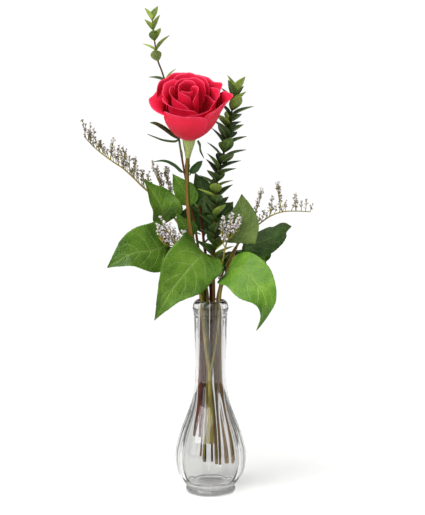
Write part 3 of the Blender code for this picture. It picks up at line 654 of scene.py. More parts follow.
def turned(name, profile, skin, steps):
    """A profile of (radius, height) turned about Z; skin holds a share for each of its points."""
    points = [Vector((r, 0.0, z)) * MM for r, z in profile]
    mesh = bpy.data.meshes.new(name)
    rings, faces, shares, index = [], [], [], []
    for point, share in zip(points, skin):
        if point.x < 1e-7:
            index.append([len(rings)] * steps)
            rings.append(point)
            shares.append(share)
            continue
        index.append(list(range(len(rings), len(rings) + steps)))
        for k in range(steps):
            turn = TAU * k / steps
            rings.append(Vector((point.x * math.cos(turn), point.x * math.sin(turn), point.z)))
            shares.append(share)
    for low, high in zip(index, index[1:]):
        for k in range(steps):
            n = (k + 1) % steps
            corners = [low[k], low[n], high[n], high[k]]
            faces.append([c for i, c in enumerate(corners) if c not in corners[:i]])
    mesh.from_pydata(rings, [], faces)
    field = mesh.attributes.new("skin", "FLOAT", "POINT")
    field.data.foreach_set("value", shares)
    made = bpy.data.objects.new(name, mesh)
    bpy.context.scene.collection.objects.link(made)
    return made


def fine_profile(points, count):
    return [(p.x, p.y) for p in smooth_points([(r, z, 0) for r, z in points], count)]


def make_vase(glass):
    outside = fine_profile(VASE_OUTSIDE, 150)[::-1]
    inside = fine_profile(VASE_INSIDE, 90)
    profile = [(0.0, 0.0), (10.0, 0.0), (20.0, 0.0)] + outside + inside[:-1] + [(0.0, 7.5)]
    skin = [0.0] * 3 + [1.0] * len(outside) + [0.0] * len(inside)
    made = turned("fluted_glass_vase", [(max(r, 0.0), max(z, 0.0)) for r, z in profile], skin, 192)
    modifier = made.modifiers.new("flutes", "NODES")
    modifier.node_group = flute_tree()
    set_inputs(modifier, {"Glass": glass, "Flutes": 12.0, "Flute depth": 0.0011})
    dress(used_up(made), "vase_glass", "vase")


# ================================================================ rose
ROSE_BASE = Vector((-21.5, -14.0, 372.5))
ROSE_LEAN = math.radians(34.0)
RING_STEP = 3.4


def rose_point(radius, angle, height):
    """From the head's own cylinder (angle 0 is +X, 90 degrees away from the viewer) to the world."""
    x = radius * math.cos(angle)
    y = radius * math.sin(angle)
    lean_y = y * math.cos(ROSE_LEAN) - height * math.sin(ROSE_LEAN)
    lean_z = y * math.sin(ROSE_LEAN) + height * math.cos(ROSE_LEAN)
    return ROSE_BASE + Vector((x, lean_y, lean_z))


def cup_share(share):
    """How wide the cup is at a share of its height: narrow at the hip, full from the middle up."""
    return 0.19 + 0.81 * math.sin(min(max(share, 0.0) * 1.25, 1.0) * math.pi / 2) ** 0.66


# angle: where the petal's middle is; cover: how much of the circle it takes; foot: where its wall starts;
# curl: how far, in degrees, the rim turns out past "curl_from", and curl_skew how that grows to one side;
# slant: one end of the rim higher; narrow: width at the foot as a share of the rim's; tuck: which side edge
# lies outside its neighbour; anchor: the side edge that runs straight down; close: how much the top draws
# in; corner: small for a rim that rounds early; beak: a drawn-out tip; wave: ripple
OUTER = dict(radius=31.5, height=52.0, foot=3.2, cover=106, curl=45, curl_from=0.74, dip=0.06, wave=1.1,
             narrow=0.6)
MIDDLE = dict(radius=25.5, height=55.0, foot=5.5, cover=110, curl=40, curl_from=0.78, dip=0.06, wave=0.9,
              narrow=0.45)
INNER = dict(radius=18.0, height=57.0, foot=10.0, cover=130, curl=24, curl_from=0.84, dip=0.04, wave=0.7,
             narrow=0.3, tuck=-1.0)
BUD = dict(radius=10.0, height=57.0, foot=18.0, cover=160, curl=24, curl_from=0.88, dip=0.04, wave=0.5,
           narrow=0.2, tuck=-1.0, close=0.1)
PETALS = {
    "rose_petal_outer_1": dict(OUTER, angle=257, cover=114, height=47.5, curl=34, radius=30.2, corner=4),
    "rose_petal_outer_2": dict(OUTER, angle=342, cover=104, height=48.5, curl=36, slant=0.04, dip=0.08,
                               beak=(0.3, 0.25, 6.5, 0.5)),
    "rose_petal_outer_3": dict(OUTER, angle=50, height=50.5, curl=34, beak=(-0.32, 0.2, 6.0, 1.5)),
    "rose_petal_outer_4": dict(OUTER, angle=120, height=53.0, curl=38, slant=-0.03),
    "rose_petal_outer_5": dict(OUTER, angle=177, cover=120, height=50.0, curl=112, curl_from=0.6,
                               radius=25.8, slant=-0.12, dip=0.03),
    "rose_petal_middle_1": dict(MIDDLE, angle=235, cover=142, height=50.5, curl=52, radius=21.5,
                                slant=-0.05, curl_skew=-0.7),
    "rose_petal_middle_2": dict(MIDDLE, angle=305, height=43.0, curl=10, radius=25.0),
    "rose_petal_middle_3": dict(MIDDLE, angle=5, height=50.5, curl=34, radius=27.0, cover=100),
    "rose_petal_middle_4": dict(MIDDLE, angle=84, height=55.0, curl=30, radius=27.0, cover=112),
    "rose_petal_middle_5": dict(MIDDLE, angle=150, height=55.5, curl=70, radius=21.5),
    "rose_petal_inner_1": dict(INNER, angle=208, cover=176, height=52.5, slant=-0.16, radius=16.0,
                               anchor=1.0, corner=4),
    "rose_petal_inner_2": dict(INNER, angle=300, height=34.0, radius=16.0, cover=100),
    "rose_petal_inner_3": dict(INNER, angle=15, radius=24.0, height=40.0, cover=104),
    "rose_petal_inner_4": dict(INNER, angle=90, height=56.0, radius=19.0, cover=136),
    "rose_petal_bud_1": dict(BUD, angle=212, cover=206, slant=-0.04, narrow=0.12, anchor=1.0, corner=3),
    "rose_petal_bud_2": dict(BUD, angle=5, height=55.5, cover=170, slant=0.04),
    "rose_petal_bud_3": dict(BUD, angle=112, radius=12.5, height=58.0, cover=150, curl=40),
    "rose_petal_bud_4": dict(BUD, angle=265, radius=6.0, height=57.5, cover=270, corner=3),
}


def petal_surface(petal, seed):
    chance = random.Random(seed)
    centre = math.radians(petal["angle"])
    half_cover = math.radians(petal["cover"] / 2)
    phases = [chance.uniform(0, TAU) for _ in range(3)]
    slant = petal.get("slant", 0.0)
    close = petal.get("close", 0.0)
    beak = petal.get("beak", (0.0, 1.0, 0.0, 0.0))
    foot, top, start = petal["foot"], petal["height"], petal["curl_from"]

    def place(u, v):
        corner = (1.0 - 0.999 * abs(v) ** petal.get("corner", 6)) ** 0.34
        reach = (1.0 - petal["dip"] * v * v + slant * v) * corner
        share = u * reach
        bend = math.radians(petal["curl"] * (1 + petal.get("curl_skew", 0.0) * v))
        past = max(share - start, 0.0) * (top - foot)
        bow = bend / ((1 - start) * (top - foot))
        height = foot + (top - foot) * min(share, start) + math.sin(past * bow) / bow
        out = (1 - math.cos(past * bow)) / bow
        cup = cup_share((foot + (top - foot) * min(share, start)) / top)
        tuck = petal.get("tuck", 1.0) * RING_STEP * v * cup * 0.5
        radius = petal["radius"] * cup * (1 - close * share ** 3) + tuck + out
        tip = math.exp(-((v - beak[0]) / beak[1]) ** 2) * step(share, 0.55, 1.0)
        ripple = petal["wave"] * (math.sin(2.6 * v + phases[0]) + 0.55 * math.sin(6.1 * v + phases[1])
                                  + 0.34 * math.sin(13.0 * v + phases[2])) * u ** 4
        squeeze = petal["narrow"] + (1 - petal["narrow"]) * min(share * 1.25, 1.0)
        middle = centre + half_cover * (1 - squeeze) * petal.get("anchor", 0.0)
        return rose_point(radius + ripple + beak[2] * tip, middle + v * half_cover * squeeze,
                          height + 0.9 * ripple + beak[3] * tip)

    return place


def make_petals(finish):
    for index, (name, petal) in enumerate(PETALS.items()):
        shape = Shape()
        shape.sheet(36, 40, petal_surface(petal, index), 0.5)
        dress(as_object(name + "_fine", shape.mesh(name), finish), "rose_petal", name)


SEPALS = {
    "rose_sepal_1": (187, 5.0, [(11, -2), (18, 3), (26, 11), (33, 17), (39, 20)]),
    "rose_sepal_2": (193, 1.8, [(11, -3), (16, -4.5), (27, -1), (35, 4), (43, 9.5)]),
    "rose_sepal_3": (214, 1.8, [(12, -3), (11.4, -9), (9.5, -16), (8, -25)]),
    "rose_sepal_4": (335, 1.9, [(9.4, -3), (12.0, -8), (12.6, -15), (16.5, -23)]),
    "rose_sepal_5": (80, 3.0, [(11, -3), (18, -2), (27, 2), (35, 7)]),
}


def make_hip_and_sepals(hip_skin, green):
    axis = Vector((0.0, -math.sin(ROSE_LEAN), math.cos(ROSE_LEAN)))
    top = ROSE_BASE + axis * 0.6
    bottom = Vector((-23.2, -3.6, 351.0)) - axis * 0.5
    line = [bottom.lerp(top, i / 15) for i in range(16)]
    radii = [mix(2.5, 6.9, step(i / 15, -0.1, 1.05)) + 0.35 * math.sin(i / 15 * math.pi) for i in range(16)]
    hip = Shape()
    hip.rod(line, radii, sides=24)
    dress(as_object("rose_hip_fine", hip.mesh("rose_hip"), hip_skin), "rose_green", "rose_hip")
    for index, (name, (angle, half_width, route)) in enumerate(SEPALS.items()):
        turn = math.radians(angle)
        line = smooth_points([(r, z, 0) for r, z in route], 41)

        def place(u, v, line=line, turn=turn, half_width=half_width):
            spot = line[round(u * 40)]
            width = half_width * math.sin(math.pi * min(0.22 + u * 0.78, 1.0)) ** 0.8 + 0.15
            return rose_point(spot.x, turn + v * width / spot.x, spot.y + 0.25 * width * v * v)

        shape = Shape()
        shape.sheet(28, 8, place, 0.6)
        dress(as_object(name + "_fine", shape.mesh(name), green), "rose_green", name)


# ================================================================ leaves
SALAL_LEAVES = {
    "salal_leaf_upper_left": (
        [(-46, 1.5, 277), (-49, 0, 286), (-51, -5, 300), (-59, -3, 314), (-69, 0, 327)],
        (-1, -0.7, 0.1), 13, 21, 0.25),
    "salal_leaf_big_left": (
        [(-36, 0.5, 257), (-47, -12, 259), (-61, -20, 257), (-82, -28, 254), (-104, -32, 241)],
        (-0.2, -0.3, -1), 22, 28, 0.12),
    "salal_leaf_front": (
        [(-2, 3.5, 238), (-5, -12, 252), (-12, -28, 251), (-26, -38, 236), (-41, -46, 217),
         (-56, -50, 190)],
        (-0.75, -0.1, 0.62), 28, 28, 0.12),
    "salal_leaf_low_right": (
        [(15, -2, 228), (17, -14, 234), (31, -31, 239), (46, -42, 226), (55, -47, 206),
         (46, -44, 178)],
        (-0.6, -0.3, -0.75), 25, 20, 0.14),
    "salal_leaf_right_upper": (
        [(28, 4, 259), (27, -2, 266), (30, -5, 278), (33, -5, 295), (32, -1, 313)],
        (-1, 0.1, 0.1), 19, 20, 0.2),
    "salal_leaf_right_dark": (
        [(31, 5.5, 268), (37, 3, 257), (50, 4, 262), (66, 8, 269), (75, 10, 277), (84, 12, 278.5)],
        (-0.5, -0.35, 1), 13, 14, 0.22),
    "salal_leaf_behind_stem_left": (
        [(-12.6, 16.5, 298), (-20, 15, 306), (-27, 12, 314), (-33, 10, 323), (-39, 8, 333)],
        (-0.7, -0.1, -0.7), 11, 12, 0.15),
    "salal_leaf_behind_stem_right": (
        [(-9.5, 16, 286), (-8, 17.5, 297), (-7, 18, 308), (-10, 16, 320), (-16, 13, 334)],
        (-1, 0.05, -0.1), 15, 16, 0.15),
    "salal_leaf_centre_back": (
        [(-8.2, 16.5, 265), (-5, 24, 274), (-7, 28, 287), (-10, 32, 299), (-15, 35, 311)],
        (-1, -0.1, 0), 29, 18, 0.15),
    "salal_leaf_small": (
        [(-10.5, 12.5, 270), (-18, 5, 274.5), (-25, 1.5, 278), (-30, 0, 284), (-35, -1, 294)],
        (-0.8, -0.2, -0.6), 8, 9, 0.1),
    "salal_leaf_low_back": (
        [(13.5, 2.5, 220), (22, 11, 222), (30, 25, 230), (35, 35, 241), (39, 41, 253)],
        (-0.5, 0.2, 0.9), 28, 18, 0.15),
    "salal_leaf_back_right": (
        [(27.5, 8.8, 253), (37, 24, 252), (48, 30, 250), (56, 33, 243), (60, 34, 232)],
        (-0.3, -0.2, 0.9), 14, 14, 0.15),
    "salal_leaf_back": (
        [(-5.5, 14, 262), (4, 19, 272), (10, 24, 284), (16, 32, 293), (24, 40, 302)],
        (-0.7, 0.1, 0.6), 16, 17, 0.15),
}
ROSE_LEAVES = {
    "rose_leaf_left": (
        [(-26.5, -1, 333), (-30, -3, 337), (-37, -7, 344), (-47, -11, 348), (-60, -13, 346)],
        (0.2, -0.9, 0.35), 3.4, 3.4, 0.35),
    "rose_leaf_right": (
        [(-21.3, -1, 332), (-19, -2, 336), (-15, -3, 341), (-11, -3.5, 345), (-8, -4, 347)],
        (-0.5, -0.5, 0.7), 4.4, 4.2, 0.3),
}
BLADE_START = 0.14
WIDEST_AT = 0.36


def leaf_width(blade):
    """Half width as a share of the widest along the blade: a round base and a drawn-out tip."""
    if blade < WIDEST_AT:
        return max(1.0 - (1.0 - blade / WIDEST_AT) ** 2.3, 0.0) ** 0.5
    return math.cos((blade - WIDEST_AT) / (1.0 - WIDEST_AT) * math.pi / 2) ** 1.1


def leaf_frame(points, left, samples=160):
    """The midrib's points, at each the ways to the blade's left and to its upper side (the side that
    mostly faces -Y), and whether left and tip had to be swapped round to find that side."""
    line = smooth_points(points, samples + 1)
    sides, ups = [], []
    for i in range(samples + 1):
        tangent = (line[min(i + 1, samples)] - line[max(i - 1, 0)]).normalized()
        side = Vector(left)
        side = (side - tangent * side.dot(tangent)).normalized()
        sides.append(side)
        ups.append(side.cross(tangent))
    turned_over = sum(up.y for up in ups) > 0
    return line, sides, [-up for up in ups] if turned_over else ups, turned_over


def make_leaf(name, leaf, finish, slot, seed, waviness):
    points, left, left_width, right_width, lift = leaf
    line, sides, ups, flip = leaf_frame(points, left)
    samples = len(line) - 1
    chance = random.Random(seed)
    phases = [chance.uniform(0, TAU) for _ in range(4)]
    widest = max(left_width, right_width)

    def place(row, v):
        blade = row ** 1.25
        u = BLADE_START + (1 - BLADE_START) * blade
        i = min(int(round(u * samples)), samples)
        lobed = 1 + 0.05 * math.sin(blade * 13.0 + phases[3] * (1 if v > 0 else 2)) * min(blade * 4, 1.0)
        toothed = 1 + 0.012 * (1 - 2 * abs((blade * 22) % 1.0 - 0.5)) * abs(v) ** 8
        half = (left_width if v > 0 else right_width) * leaf_width(blade) * lobed * toothed + 0.25
        edge = abs(v) ** 2.5
        turn = phases[0] if v > 0 else phases[1]
        wave = waviness * widest * edge * math.sin(blade * 9.5 + turn)
        wave += 0.35 * waviness * widest * edge * math.sin(blade * 23.0 + phases[2])
        groove = -0.35 * math.exp(-(v * half / 0.9) ** 2) * min(blade * 8, 1.0)
        slant = 7.0 * blade - 1.7 * abs(v) ** 1.35
        puff = 0.22 * abs(math.sin(math.pi * slant)) * min(widest / 15, 1.0) * (1 - edge)
        return (line[i] + sides[i] * (half * v)
                + ups[i] * (half * lift * v * v + wave + groove + puff))

    shape = Shape()
    shape.sheet(88, 30, (lambda u, v: place(u, -v)) if flip else place, 0.45)
    stalk = [line[i] - ups[i] * 0.45 for i in range(0, int(samples * 0.9), 4)]
    thick = 1.0 if widest > 10 else 0.7
    radii = [thick * mix(1.0, 0.3, step(i / len(stalk), 0.05, 0.95)) for i in range(len(stalk))]
    shape.rod(stalk, radii, sides=8)
    dress(as_object(name + "_fine", shape.mesh(name), finish), slot, name)


def make_leaves(finishes, green):
    for index, (name, leaf) in enumerate(SALAL_LEAVES.items()):
        finish = finishes.get(name, finishes["usual"])
        make_leaf(name, leaf, finish, "salal_leaf", 20 + index, 0.05)
    for index, (name, leaf) in enumerate(ROSE_LEAVES.items()):
        make_leaf(name, leaf, green, "rose_green", 50 + index, 0.04)


# ================================================================ stems
STEMS = {
    "rose_stem": (2.5, 2.2, [
        (4.5, -3, 30), (3.5, -3, 66), (1, -3, 98), (-2, -3, 130), (-4.5, -3.2, 172), (-8, -3.2, 206),
        (-13, -4, 237), (-18, -4.2, 263), (-21.5, -4, 286), (-23.3, -3, 307), (-24, -1.6, 327),
        (-23.8, -2.2, 340), (-23.2, -3.6, 351.0)]),
    "salal_stem_left": (3.3, 1.2, [
        (-12, 0.5, 58), (-11, 0.5, 98), (-10, 1, 124), (-9, 1.5, 165), (-9.5, 3.5, 206),
        (-14, 6, 225), (-22, 8, 245), (-30, 6, 252), (-38, 4, 263), (-44, 2.5, 275)]),
    "salal_stem_centre": (2.8, 1.1, [
        (-4, 9, 29), (-4, 9, 60), (-3, 8, 98), (0, 7, 124), (1, 6, 165), (1, 6, 206),
        (-2, 8, 230), (-6, 11, 255), (-9, 14, 280), (-11, 15, 300)]),
    "salal_stem_right": (2.6, 1.0, [
        (21, 4, 29), (18, 4, 60), (13, 3, 98), (10, 1, 124), (9.5, 0, 165), (9.5, 0, 206),
        (14, 1, 225), (20, 3, 240), (26, 6, 255), (30, 8, 266)]),
}


def thickened(line, low, high, joints, seed):
    """(point, radius) along a stem: an even taper, small unevenness, and a swelling at each joint."""
    chance = random.Random(seed)
    phase = chance.uniform(0, TAU)
    made = []
    for i, point in enumerate(line):
        share = i / (len(line) - 1)
        radius = mix(low, high, share) * (1 + 0.03 * math.sin(share * 37 + phase))
        for joint in joints:
            radius += 0.22 * low * math.exp(-((share - joint) / 0.012) ** 2)
        made.append((point, radius))
    return made


def make_stems(tree, skins):
    joints = {"rose_stem": (0.3, 0.62, 0.93), "salal_stem_left": (0.2, 0.42, 0.7),
              "salal_stem_centre": (0.3, 0.55, 0.8), "salal_stem_right": (0.25, 0.5, 0.74)}
    for index, (name, (low, high, points)) in enumerate(STEMS.items()):
        line = thickened(smooth_points(points, 120), low, high, joints[name], index)
        made = grow(name + "_fine", tree, [line], [], {"Stem sides": 18, "Stem finish": skins[name]})
        dress(made, "rose_stem" if name == "rose_stem" else "salal_stem", name)


# ================================================================ myrtle
MYRTLE = {
    "myrtle_sprig_right": dict(
        radii=(2.2, 0.8), leaf=28.0, from_height=224.0, spacing=6.0, turn=77.0, tone=0.32,
        points=[(10.5, -2, 29), (9.5, -1, 66), (7, 0, 98), (5, 0, 124), (3.5, -1, 165),
                (3.3, 0.5, 206), (3, 2, 239), (4, 0, 266), (5, -2, 305), (6, -3, 322), (9, -3, 340),
                (13, -2, 353), (17, 0, 371), (19, 2, 384), (23, 3, 404), (25, 4, 417)]),
    "myrtle_sprig_tall": dict(
        radii=(1.9, 0.6), leaf=24.0, from_height=428.0, spacing=10.3, turn=80.0, tone=0.66, bare=(432.0, 446.0),
        points=[(-12, 13, 34), (-10, 12, 60), (-8, 10, 98), (-6, 9, 124), (-5.5, 7.5, 165),
                (-6, 8, 206), (-11, 11, 244), (-17.5, 19, 285), (-24, 19, 318), (-29, 17, 345),
                (-36, 15, 387),
                (-48, 14, 432), (-54, 14, 449), (-57, 14, 467), (-59, 14, 483), (-59.5, 14, 490)]),
}


def myrtle_leaf_pattern(finish):
    """One small pointed leaf a unit long, growing along +Y with its upper side to +Z."""
    def place(u, v):
        half = 0.25 * math.sin(math.pi * min(u * 0.96 + 0.04, 1.0) ** 0.82) + 0.012
        fold = 0.32 * half * abs(v) ** 1.2
        return Vector((half * v, u, fold - 0.16 * u * u + 0.05 * u)) * 1000
    shape = Shape()
    shape.sheet(9, 6, place, 34.0)
    made = as_object("myrtle_leaf_pattern", shape.mesh("myrtle_leaf_pattern"), finish)
    return made


def make_myrtle(tree, leaf, twig, finish):
    for index, (name, sprig) in enumerate(MYRTLE.items()):
        chance = random.Random(70 + index)
        fine = smooth_points(sprig["points"], 600)
        line = thickened(smooth_points(sprig["points"], 140), *sprig["radii"], (), 70 + index)
        buds = []
        height, pair = sprig["from_height"], 0
        top = fine[-1].z
        bare_from, bare_to = sprig.get("bare", (0.0, 0.0))
        while height < top + 0.5:
            if bare_from < height < bare_to:
                height += sprig["spacing"]
                continue
            i = min(range(1, 599), key=lambda k: abs(fine[k].z - height))
            tangent = (fine[i + 1] - fine[i - 1]).normalized()
            turn = math.radians(15.0 + sprig["turn"] * pair)
            near_top = step(top - height, 0.0, 30.0)
            for way in (0.0, math.pi):
                angle = turn + way + chance.uniform(-0.35, 0.35)
                out = Vector((math.cos(angle), math.sin(angle), 0.0))
                out = (out - tangent * out.dot(tangent)).normalized()
                lean = mix(0.45, 1.0, near_top) * chance.uniform(0.75, 1.25)
                grows = (out * lean + tangent * 0.8).normalized()
                face = (tangent - out * 0.5).normalized()
                length = sprig["leaf"] * chance.uniform(0.82, 1.1) * mix(0.75, 0.9, near_top)
                tone = sprig["tone"] + chance.uniform(-0.35, 0.35)
                buds.append((fine[i] + out * 0.5, grows, face, length, tone))
            pair += 1
            height += sprig["spacing"]
        made = grow(name + "_fine", tree, [line], buds,
                    {"Stem sides": 10, "Leaf": leaf, "Stem finish": twig, "Leaf finish": finish,
                     "Seed": index + 5})
        dress(made, "myrtle", name)


# ================================================================ sea-lavender
# each stem's own points, its side branches, and which lines flower: (share it starts at, spacing,
# twig length, tone)
LIMONIUM = {
    "limonium_stem_front": dict(
        radii=(2.1, 0.9),
        points=[(-0.5, -9, 53), (-0.5, -9, 98), (-1, -9.5, 128), (-4, -9.4, 150), (-7.6, -7.8, 187),
                (-9.5, -7.6, 206), (-16, -9, 222), (-25, -13, 243), (-35, -19, 262), (-46, -23, 277)],
        flowers=(0.85, 1.5, 11.0, 0.74),
        branches=[
            ([(-1, -9.5, 126), (3.5, -9.8, 148), (8, -7.2, 182), (8.8, -7, 206), (10.5, -8.5, 222),
              (12, -9, 240), (15, -10, 258), (19, -12, 274), (22, -13, 287)], (0.78, 1.5, 9.0, 0.7)),
            ([(15, -10, 258), (12, -12, 267), (13, -13, 279)], (0.3, 1.6, 8.0, 0.72)),
            ([(17, -11, 266), (24, -12, 273), (28, -13, 281)], (0.3, 1.6, 8.0, 0.72)),
            ([(-35, -19, 262), (-45, -23, 263), (-52, -25, 270)], (0.2, 1.5, 10.0, 0.76)),
            ([(-25, -13, 243), (-27, -16, 255), (-28, -18, 264)], (0.2, 1.5, 10.0, 0.76)),
            ([(11, -9, 222), (8, -12, 228)], (0.2, 2.0, 6.0, 0.5)),
        ]),
    "limonium_stem_left": dict(
        radii=(1.9, 0.4),
        points=[(-6, 1, 33), (-5, 2, 60), (-4, 3, 98), (-3, 2, 124), (-3, 2, 165), (-3, 2.6, 206),
                (-7, 4, 226), (-12.5, 5, 241), (-20, 6, 260), (-31, 8.5, 278), (-48, 11, 301),
                (-68, 8, 318), (-79, 6, 329), (-90, 4, 339), (-103, 2, 348), (-118, 0, 360),
                (-129, -2, 372)],
        flowers=(0.66, 2.1, 14.0, 0.32),
        branches=[
            ([(-48, 11, 301), (-51, 9, 318), (-58, 7, 336)], (0.3, 2.1, 12.0, 0.35)),
            ([(-38, 9.5, 288), (-41, 12, 312), (-46, 10, 330)], (0.4, 2.1, 11.0, 0.4)),
            ([(-79, 6, 329), (-77, 5, 343)], (0.3, 3.0, 6.0, 0.35)),
            ([(-90, 4, 339), (-88, 4, 352)], (0.3, 3.0, 6.0, 0.35)),
            ([(-103, 2, 348), (-100, 3, 361)], (0.3, 3.0, 6.0, 0.35)),
        ]),
    "limonium_stem_right": dict(
        radii=(1.9, 0.4),
        points=[(24, 9, 30), (21, 9, 60), (12, 8, 98), (8, 7.5, 124), (7, 7, 165), (7, 7, 200),
                (9.5, 10, 215), (14.5, 14, 235), (26, 16.5, 256), (39, 15, 270.5), (48, 12, 279),
                (61, 8, 289), (74, 6, 294), (88, 4, 295), (103, 2, 294.5)],
        flowers=(0.72, 4.2, 8.5, 0.42),
        branches=[
            ([(48, 12, 279), (47, 10, 292), (52, 9, 309)], (0.3, 3.5, 7.0, 0.45)),
            ([(61, 8, 289), (63, 7, 303)], (0.3, 3.0, 6.0, 0.45)),
            ([(74, 6, 294), (71, 6, 306), (69, 6, 318)], (0.3, 3.0, 7.0, 0.4)),
            ([(88, 4, 295), (87, 4, 306)], (0.3, 3.0, 6.0, 0.4)),
        ]),
}


def floret_pattern(finish):
    """One papery funnel a unit long with a five-pointed rim, growing along +Y."""
    shape = Shape()
    rings = [(0.0, 0.05), (0.45, 0.13), (0.8, 0.26), (1.0, 0.42)]
    first = len(shape.points)
    count = 10
    for along, radius in rings + [(0.84, 0.3), (0.55, 0.1)]:
        for k in range(count):
            turn = TAU * k / count
            point = radius * (1.0 if k % 2 == 0 or along < 0.7 else 0.72)
            shape.points.append(Vector((point * math.cos(turn), along, point * math.sin(turn))))
            shape.uvs.append((k / count, along))
            shape.upper.append(0.5)
    for ring in range(5):
        for k in range(count):
            a, b = first + ring * count + k, first + ring * count + (k + 1) % count
            shape.faces.append((a, a + count, b + count, b))
    shape.faces.append(tuple(first + k for k in range(count)))
    shape.faces.append(tuple(first + 5 * count + k for k in reversed(range(count))))
    return as_object("floret_pattern", shape.mesh("floret_pattern"), finish)


def flowering(fine, pattern, lines, buds, chance):
    """Upright twigs set along one line, each carrying florets along it and one at its end."""
    share, spacing, reach, tone = pattern
    count = len(fine)
    walked, following = 0.0, 0.0
    for i in range(int(share * (count - 1)), count - 1):
        walked += (fine[i + 1] - fine[i]).length
        if walked < following and i < count - 2:
            continue
        following = walked + spacing * chance.uniform(0.7, 1.3)
        ahead = (fine[i + 1] - fine[i]).normalized()
        lean = Vector((chance.uniform(-0.45, 0.45), chance.uniform(-0.5, 0.5), 1.0)) + ahead * 0.35
        lean.normalize()
        length = reach * chance.uniform(0.45, 1.0)
        start = fine[i]
        twig = [start + lean * (length * t / 5) + Vector((0, 0, 0.35 * length * (t / 5) ** 2))
                for t in range(6)]
        lines.append([(p, mix(0.42, 0.28, t / 5)) for t, p in enumerate(twig)])
        florets = max(int(length / 1.5), 2)
        for k in range(florets):
            spot = twig[min(1 + int(k / florets * 5), 5)].lerp(twig[5], chance.uniform(0, 0.35))
            turn = chance.uniform(0, TAU)
            out = Vector((math.cos(turn), math.sin(turn), chance.uniform(0.6, 1.6))).normalized()
            across = out.orthogonal()
            buds.append((spot, out, across, chance.uniform(2.7, 4.2) * (0.85 + 0.3 * tone),
                         tone + chance.uniform(-0.28, 0.28)))
        buds.append((twig[5], (lean + Vector((0, 0, 0.3))).normalized(), lean.orthogonal(), 3.4,
                     tone + chance.uniform(-0.1, 0.35)))


def make_limonium(tree, floret, skin, finish):
    for index, (name, spray) in enumerate(LIMONIUM.items()):
        chance = random.Random(90 + index)
        fine = smooth_points(spray["points"], 240)
        lines, buds = [thickened(fine[::2] + [fine[-1]], *spray["radii"], (), 90 + index)], []
        flowering(fine, spray["flowers"], lines, buds, chance)
        for points, pattern in spray["branches"]:
            branch = smooth_points(points, 60)
            low, high = (1.1, 0.7) if len(points) > 5 else (0.6, 0.4)
            lines.append(thickened(branch, low, high, (), 95))
            flowering(branch, pattern, lines, buds, chance)
        made = grow(name + "_fine", tree, lines, buds,
                    {"Stem sides": 8, "Leaf": floret, "Stem finish": skin, "Leaf finish": finish,
                     "Seed": index + 11, "Size spread": 0.2})
        dress(made, "limonium", name)


# ================================================================ stage
def make_stage():
    scene = bpy.context.scene
    scene.view_settings.view_transform = "Standard"
    mesh = bpy.data.meshes.new("floor")
    reach = 1.0
    mesh.from_pydata([(-reach, -reach, 0), (reach, -reach, 0), (reach, reach, 0), (-reach, reach, 0)], [],
                     [(0, 1, 2, 3)])
    as_object("floor", mesh, pale_floor())

    world = bpy.data.worlds.new("studio")
    scene.world = world
    world.use_nodes = True
    tree = world.node_tree
    sky = add(tree, "ShaderNodeSeparateXYZ", {"Vector": add(tree, "ShaderNodeTexCoord").outputs["Generated"]})
    grade = add(tree, "ShaderNodeMapRange", {"Value": sky.outputs["Z"], "From Min": -0.2, "From Max": 0.9,
                                             "To Min": 0.16, "To Max": 0.4})
    path = add(tree, "ShaderNodeLightPath")
    # white behind the object and straight through its glass, but a dim room for what the glass reflects
    # and for the light that reaches the stems inside it
    turns = add(tree, "ShaderNodeMath", {0: path.outputs["Diffuse Depth"], 1: path.outputs["Glossy Depth"]},
                operation="ADD")
    straight = add(tree, "ShaderNodeMath", {0: turns.outputs["Value"], 1: 0.5}, operation="LESS_THAN")
    through = add(tree, "ShaderNodeMath", {0: path.outputs["Is Transmission Ray"],
                                           1: straight.outputs["Value"]}, operation="MULTIPLY")
    seen = add(tree, "ShaderNodeMath", {0: path.outputs["Is Camera Ray"], 1: through.outputs["Value"]},
               operation="MAXIMUM")
    strength = add(tree, "ShaderNodeMix", {"Factor": seen.outputs["Value"], "A": grade.outputs["Result"],
                                           "B": 1.02})
    tree.links.new(strength.outputs["Result"], tree.nodes["Background"].inputs["Strength"])
    tree.nodes["Background"].inputs["Color"].default_value = linear("#FFFFFF")

    sun = bpy.data.lights.new("overhead softbox", "SUN")
    sun.energy = 3.5
    sun.angle = math.radians(60)
    lamp = bpy.data.objects.new("overhead softbox", sun)
    lamp.rotation_euler = (math.radians(34), math.radians(-30), 0)
    scene.collection.objects.link(lamp)
    for name, place, size, power in (("left panel", (-0.9, -0.75, 0.55), 0.5, 5.0),
                                     ("right panel", (1.0, -0.45, 0.45), 0.5, 3.0)):
        panel = bpy.data.lights.new(name, "AREA")
        panel.shape = "RECTANGLE"
        panel.size, panel.size_y = size, 1.0
        panel.energy = power
        holder = bpy.data.objects.new(name, panel)
        holder.visible_glossy = False
        holder.location = place
        holder.rotation_euler = (Vector((0, 0, 0.25)) - Vector(place)).to_track_quat("-Z", "Y").to_euler()
        scene.collection.objects.link(holder)

    camera = bpy.data.cameras.new("camera")
    camera.lens = 92.13
    camera.sensor_width = 36.0
    view = bpy.data.objects.new("camera", camera)
    view.location = (0.002, -1.35, 0.41)
    view.rotation_euler = (math.radians(90 - 6.87), 0, 0)
    scene.collection.objects.link(view)
    scene.camera = view


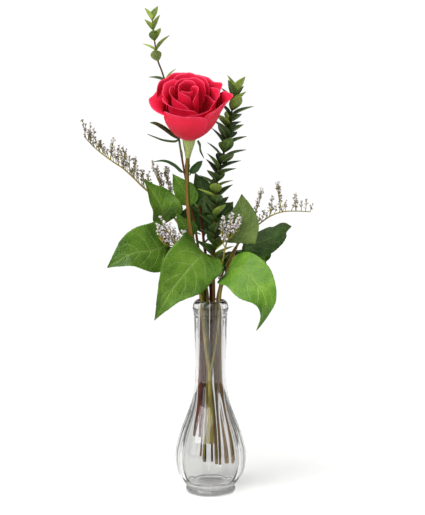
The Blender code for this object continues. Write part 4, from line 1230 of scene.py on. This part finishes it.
def main():
    make_stage()
    make_vase(clear_glass())
    green = small_leaf("fresh rose sepal and leaf", "#2C4A22", "#4C6634", "#8FA061", 0.5)
    make_petals(rose_petal())
    hip_skin = bark("smooth rose hip", [(0.3, "#7E8F48"), (0.5, "#96A25C"), (0.7, "#B3BC7C")], 260.0, "#8A9A55", 0.45)
    make_hip_and_sepals(hip_skin, green)
    usual = salal_leaf("fresh salal leaf", "#5E8024", "#416414", "#25460A", "#8CA458", 0.3)
    # painted shade: a darker copy of the salal leaf colours for leaves that sit behind others
    shaded = salal_leaf("older salal leaf", "#446228", "#294114", "#152A09", "#6E8848", 0.32)
    # painted light: a lighter copy of the salal leaf colours for leaves in brighter light
    bright = salal_leaf("young salal leaf", "#6A9028", "#4A751A", "#315A0F", "#9CB45E", 0.3)
    matt = salal_leaf("matt salal leaf", "#65793A", "#4D6028", "#354A1A", "#8CA060", 0.5)
    make_leaves({"usual": usual, "salal_leaf_low_right": bright, "salal_leaf_right_dark": shaded,
                 "salal_leaf_right_upper": matt, "salal_leaf_behind_stem_right": shaded,
                 "salal_leaf_centre_back": shaded, "salal_leaf_low_back": shaded,
                 "salal_leaf_back": shaded, "salal_leaf_behind_stem_left": bright}, green)
    tree = growth_tree()
    woody = bark("woody salal stem", [(0.3, "#1E0906"), (0.5, "#4A1D0E"), (0.7, "#7C4024")], 420.0,
                 "#B08A6A", 0.55)
    make_stems(tree, {"rose_stem": rose_stem_skin(), "salal_stem_left": woody,
                      "salal_stem_centre": woody,
                      "salal_stem_right": bark("green salal stem", [(0.3, "#43321A"), (0.5, "#70542C"),
                                                                    (0.7, "#8C7044")], 420.0,
                                               "#3C2C1C", 0.5)})
    leaf = small_leaf("leathery myrtle leaf", "#16280A", "#305014", "#AEC24A", 0.42)
    twig = bark("myrtle twig", [(0.3, "#38240F"), (0.5, "#5A4022"), (0.7, "#826238")], 600.0, "#3A2A18", 0.6)
    leaf_pattern = myrtle_leaf_pattern(leaf)
    make_myrtle(tree, leaf_pattern, twig, leaf)
    flower = dry_flower()
    floret = floret_pattern(flower)
    dry_stem = bark("sea-lavender stem", [(0.3, "#4A4418"), (0.5, "#7C7030"), (0.7, "#A49650")], 500.0,
                    "#5C4A30", 0.6)
    make_limonium(tree, floret, dry_stem, flower)
    for pattern in (leaf_pattern, floret):
        bpy.data.objects.remove(pattern, do_unlink=True)
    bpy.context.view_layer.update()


main()
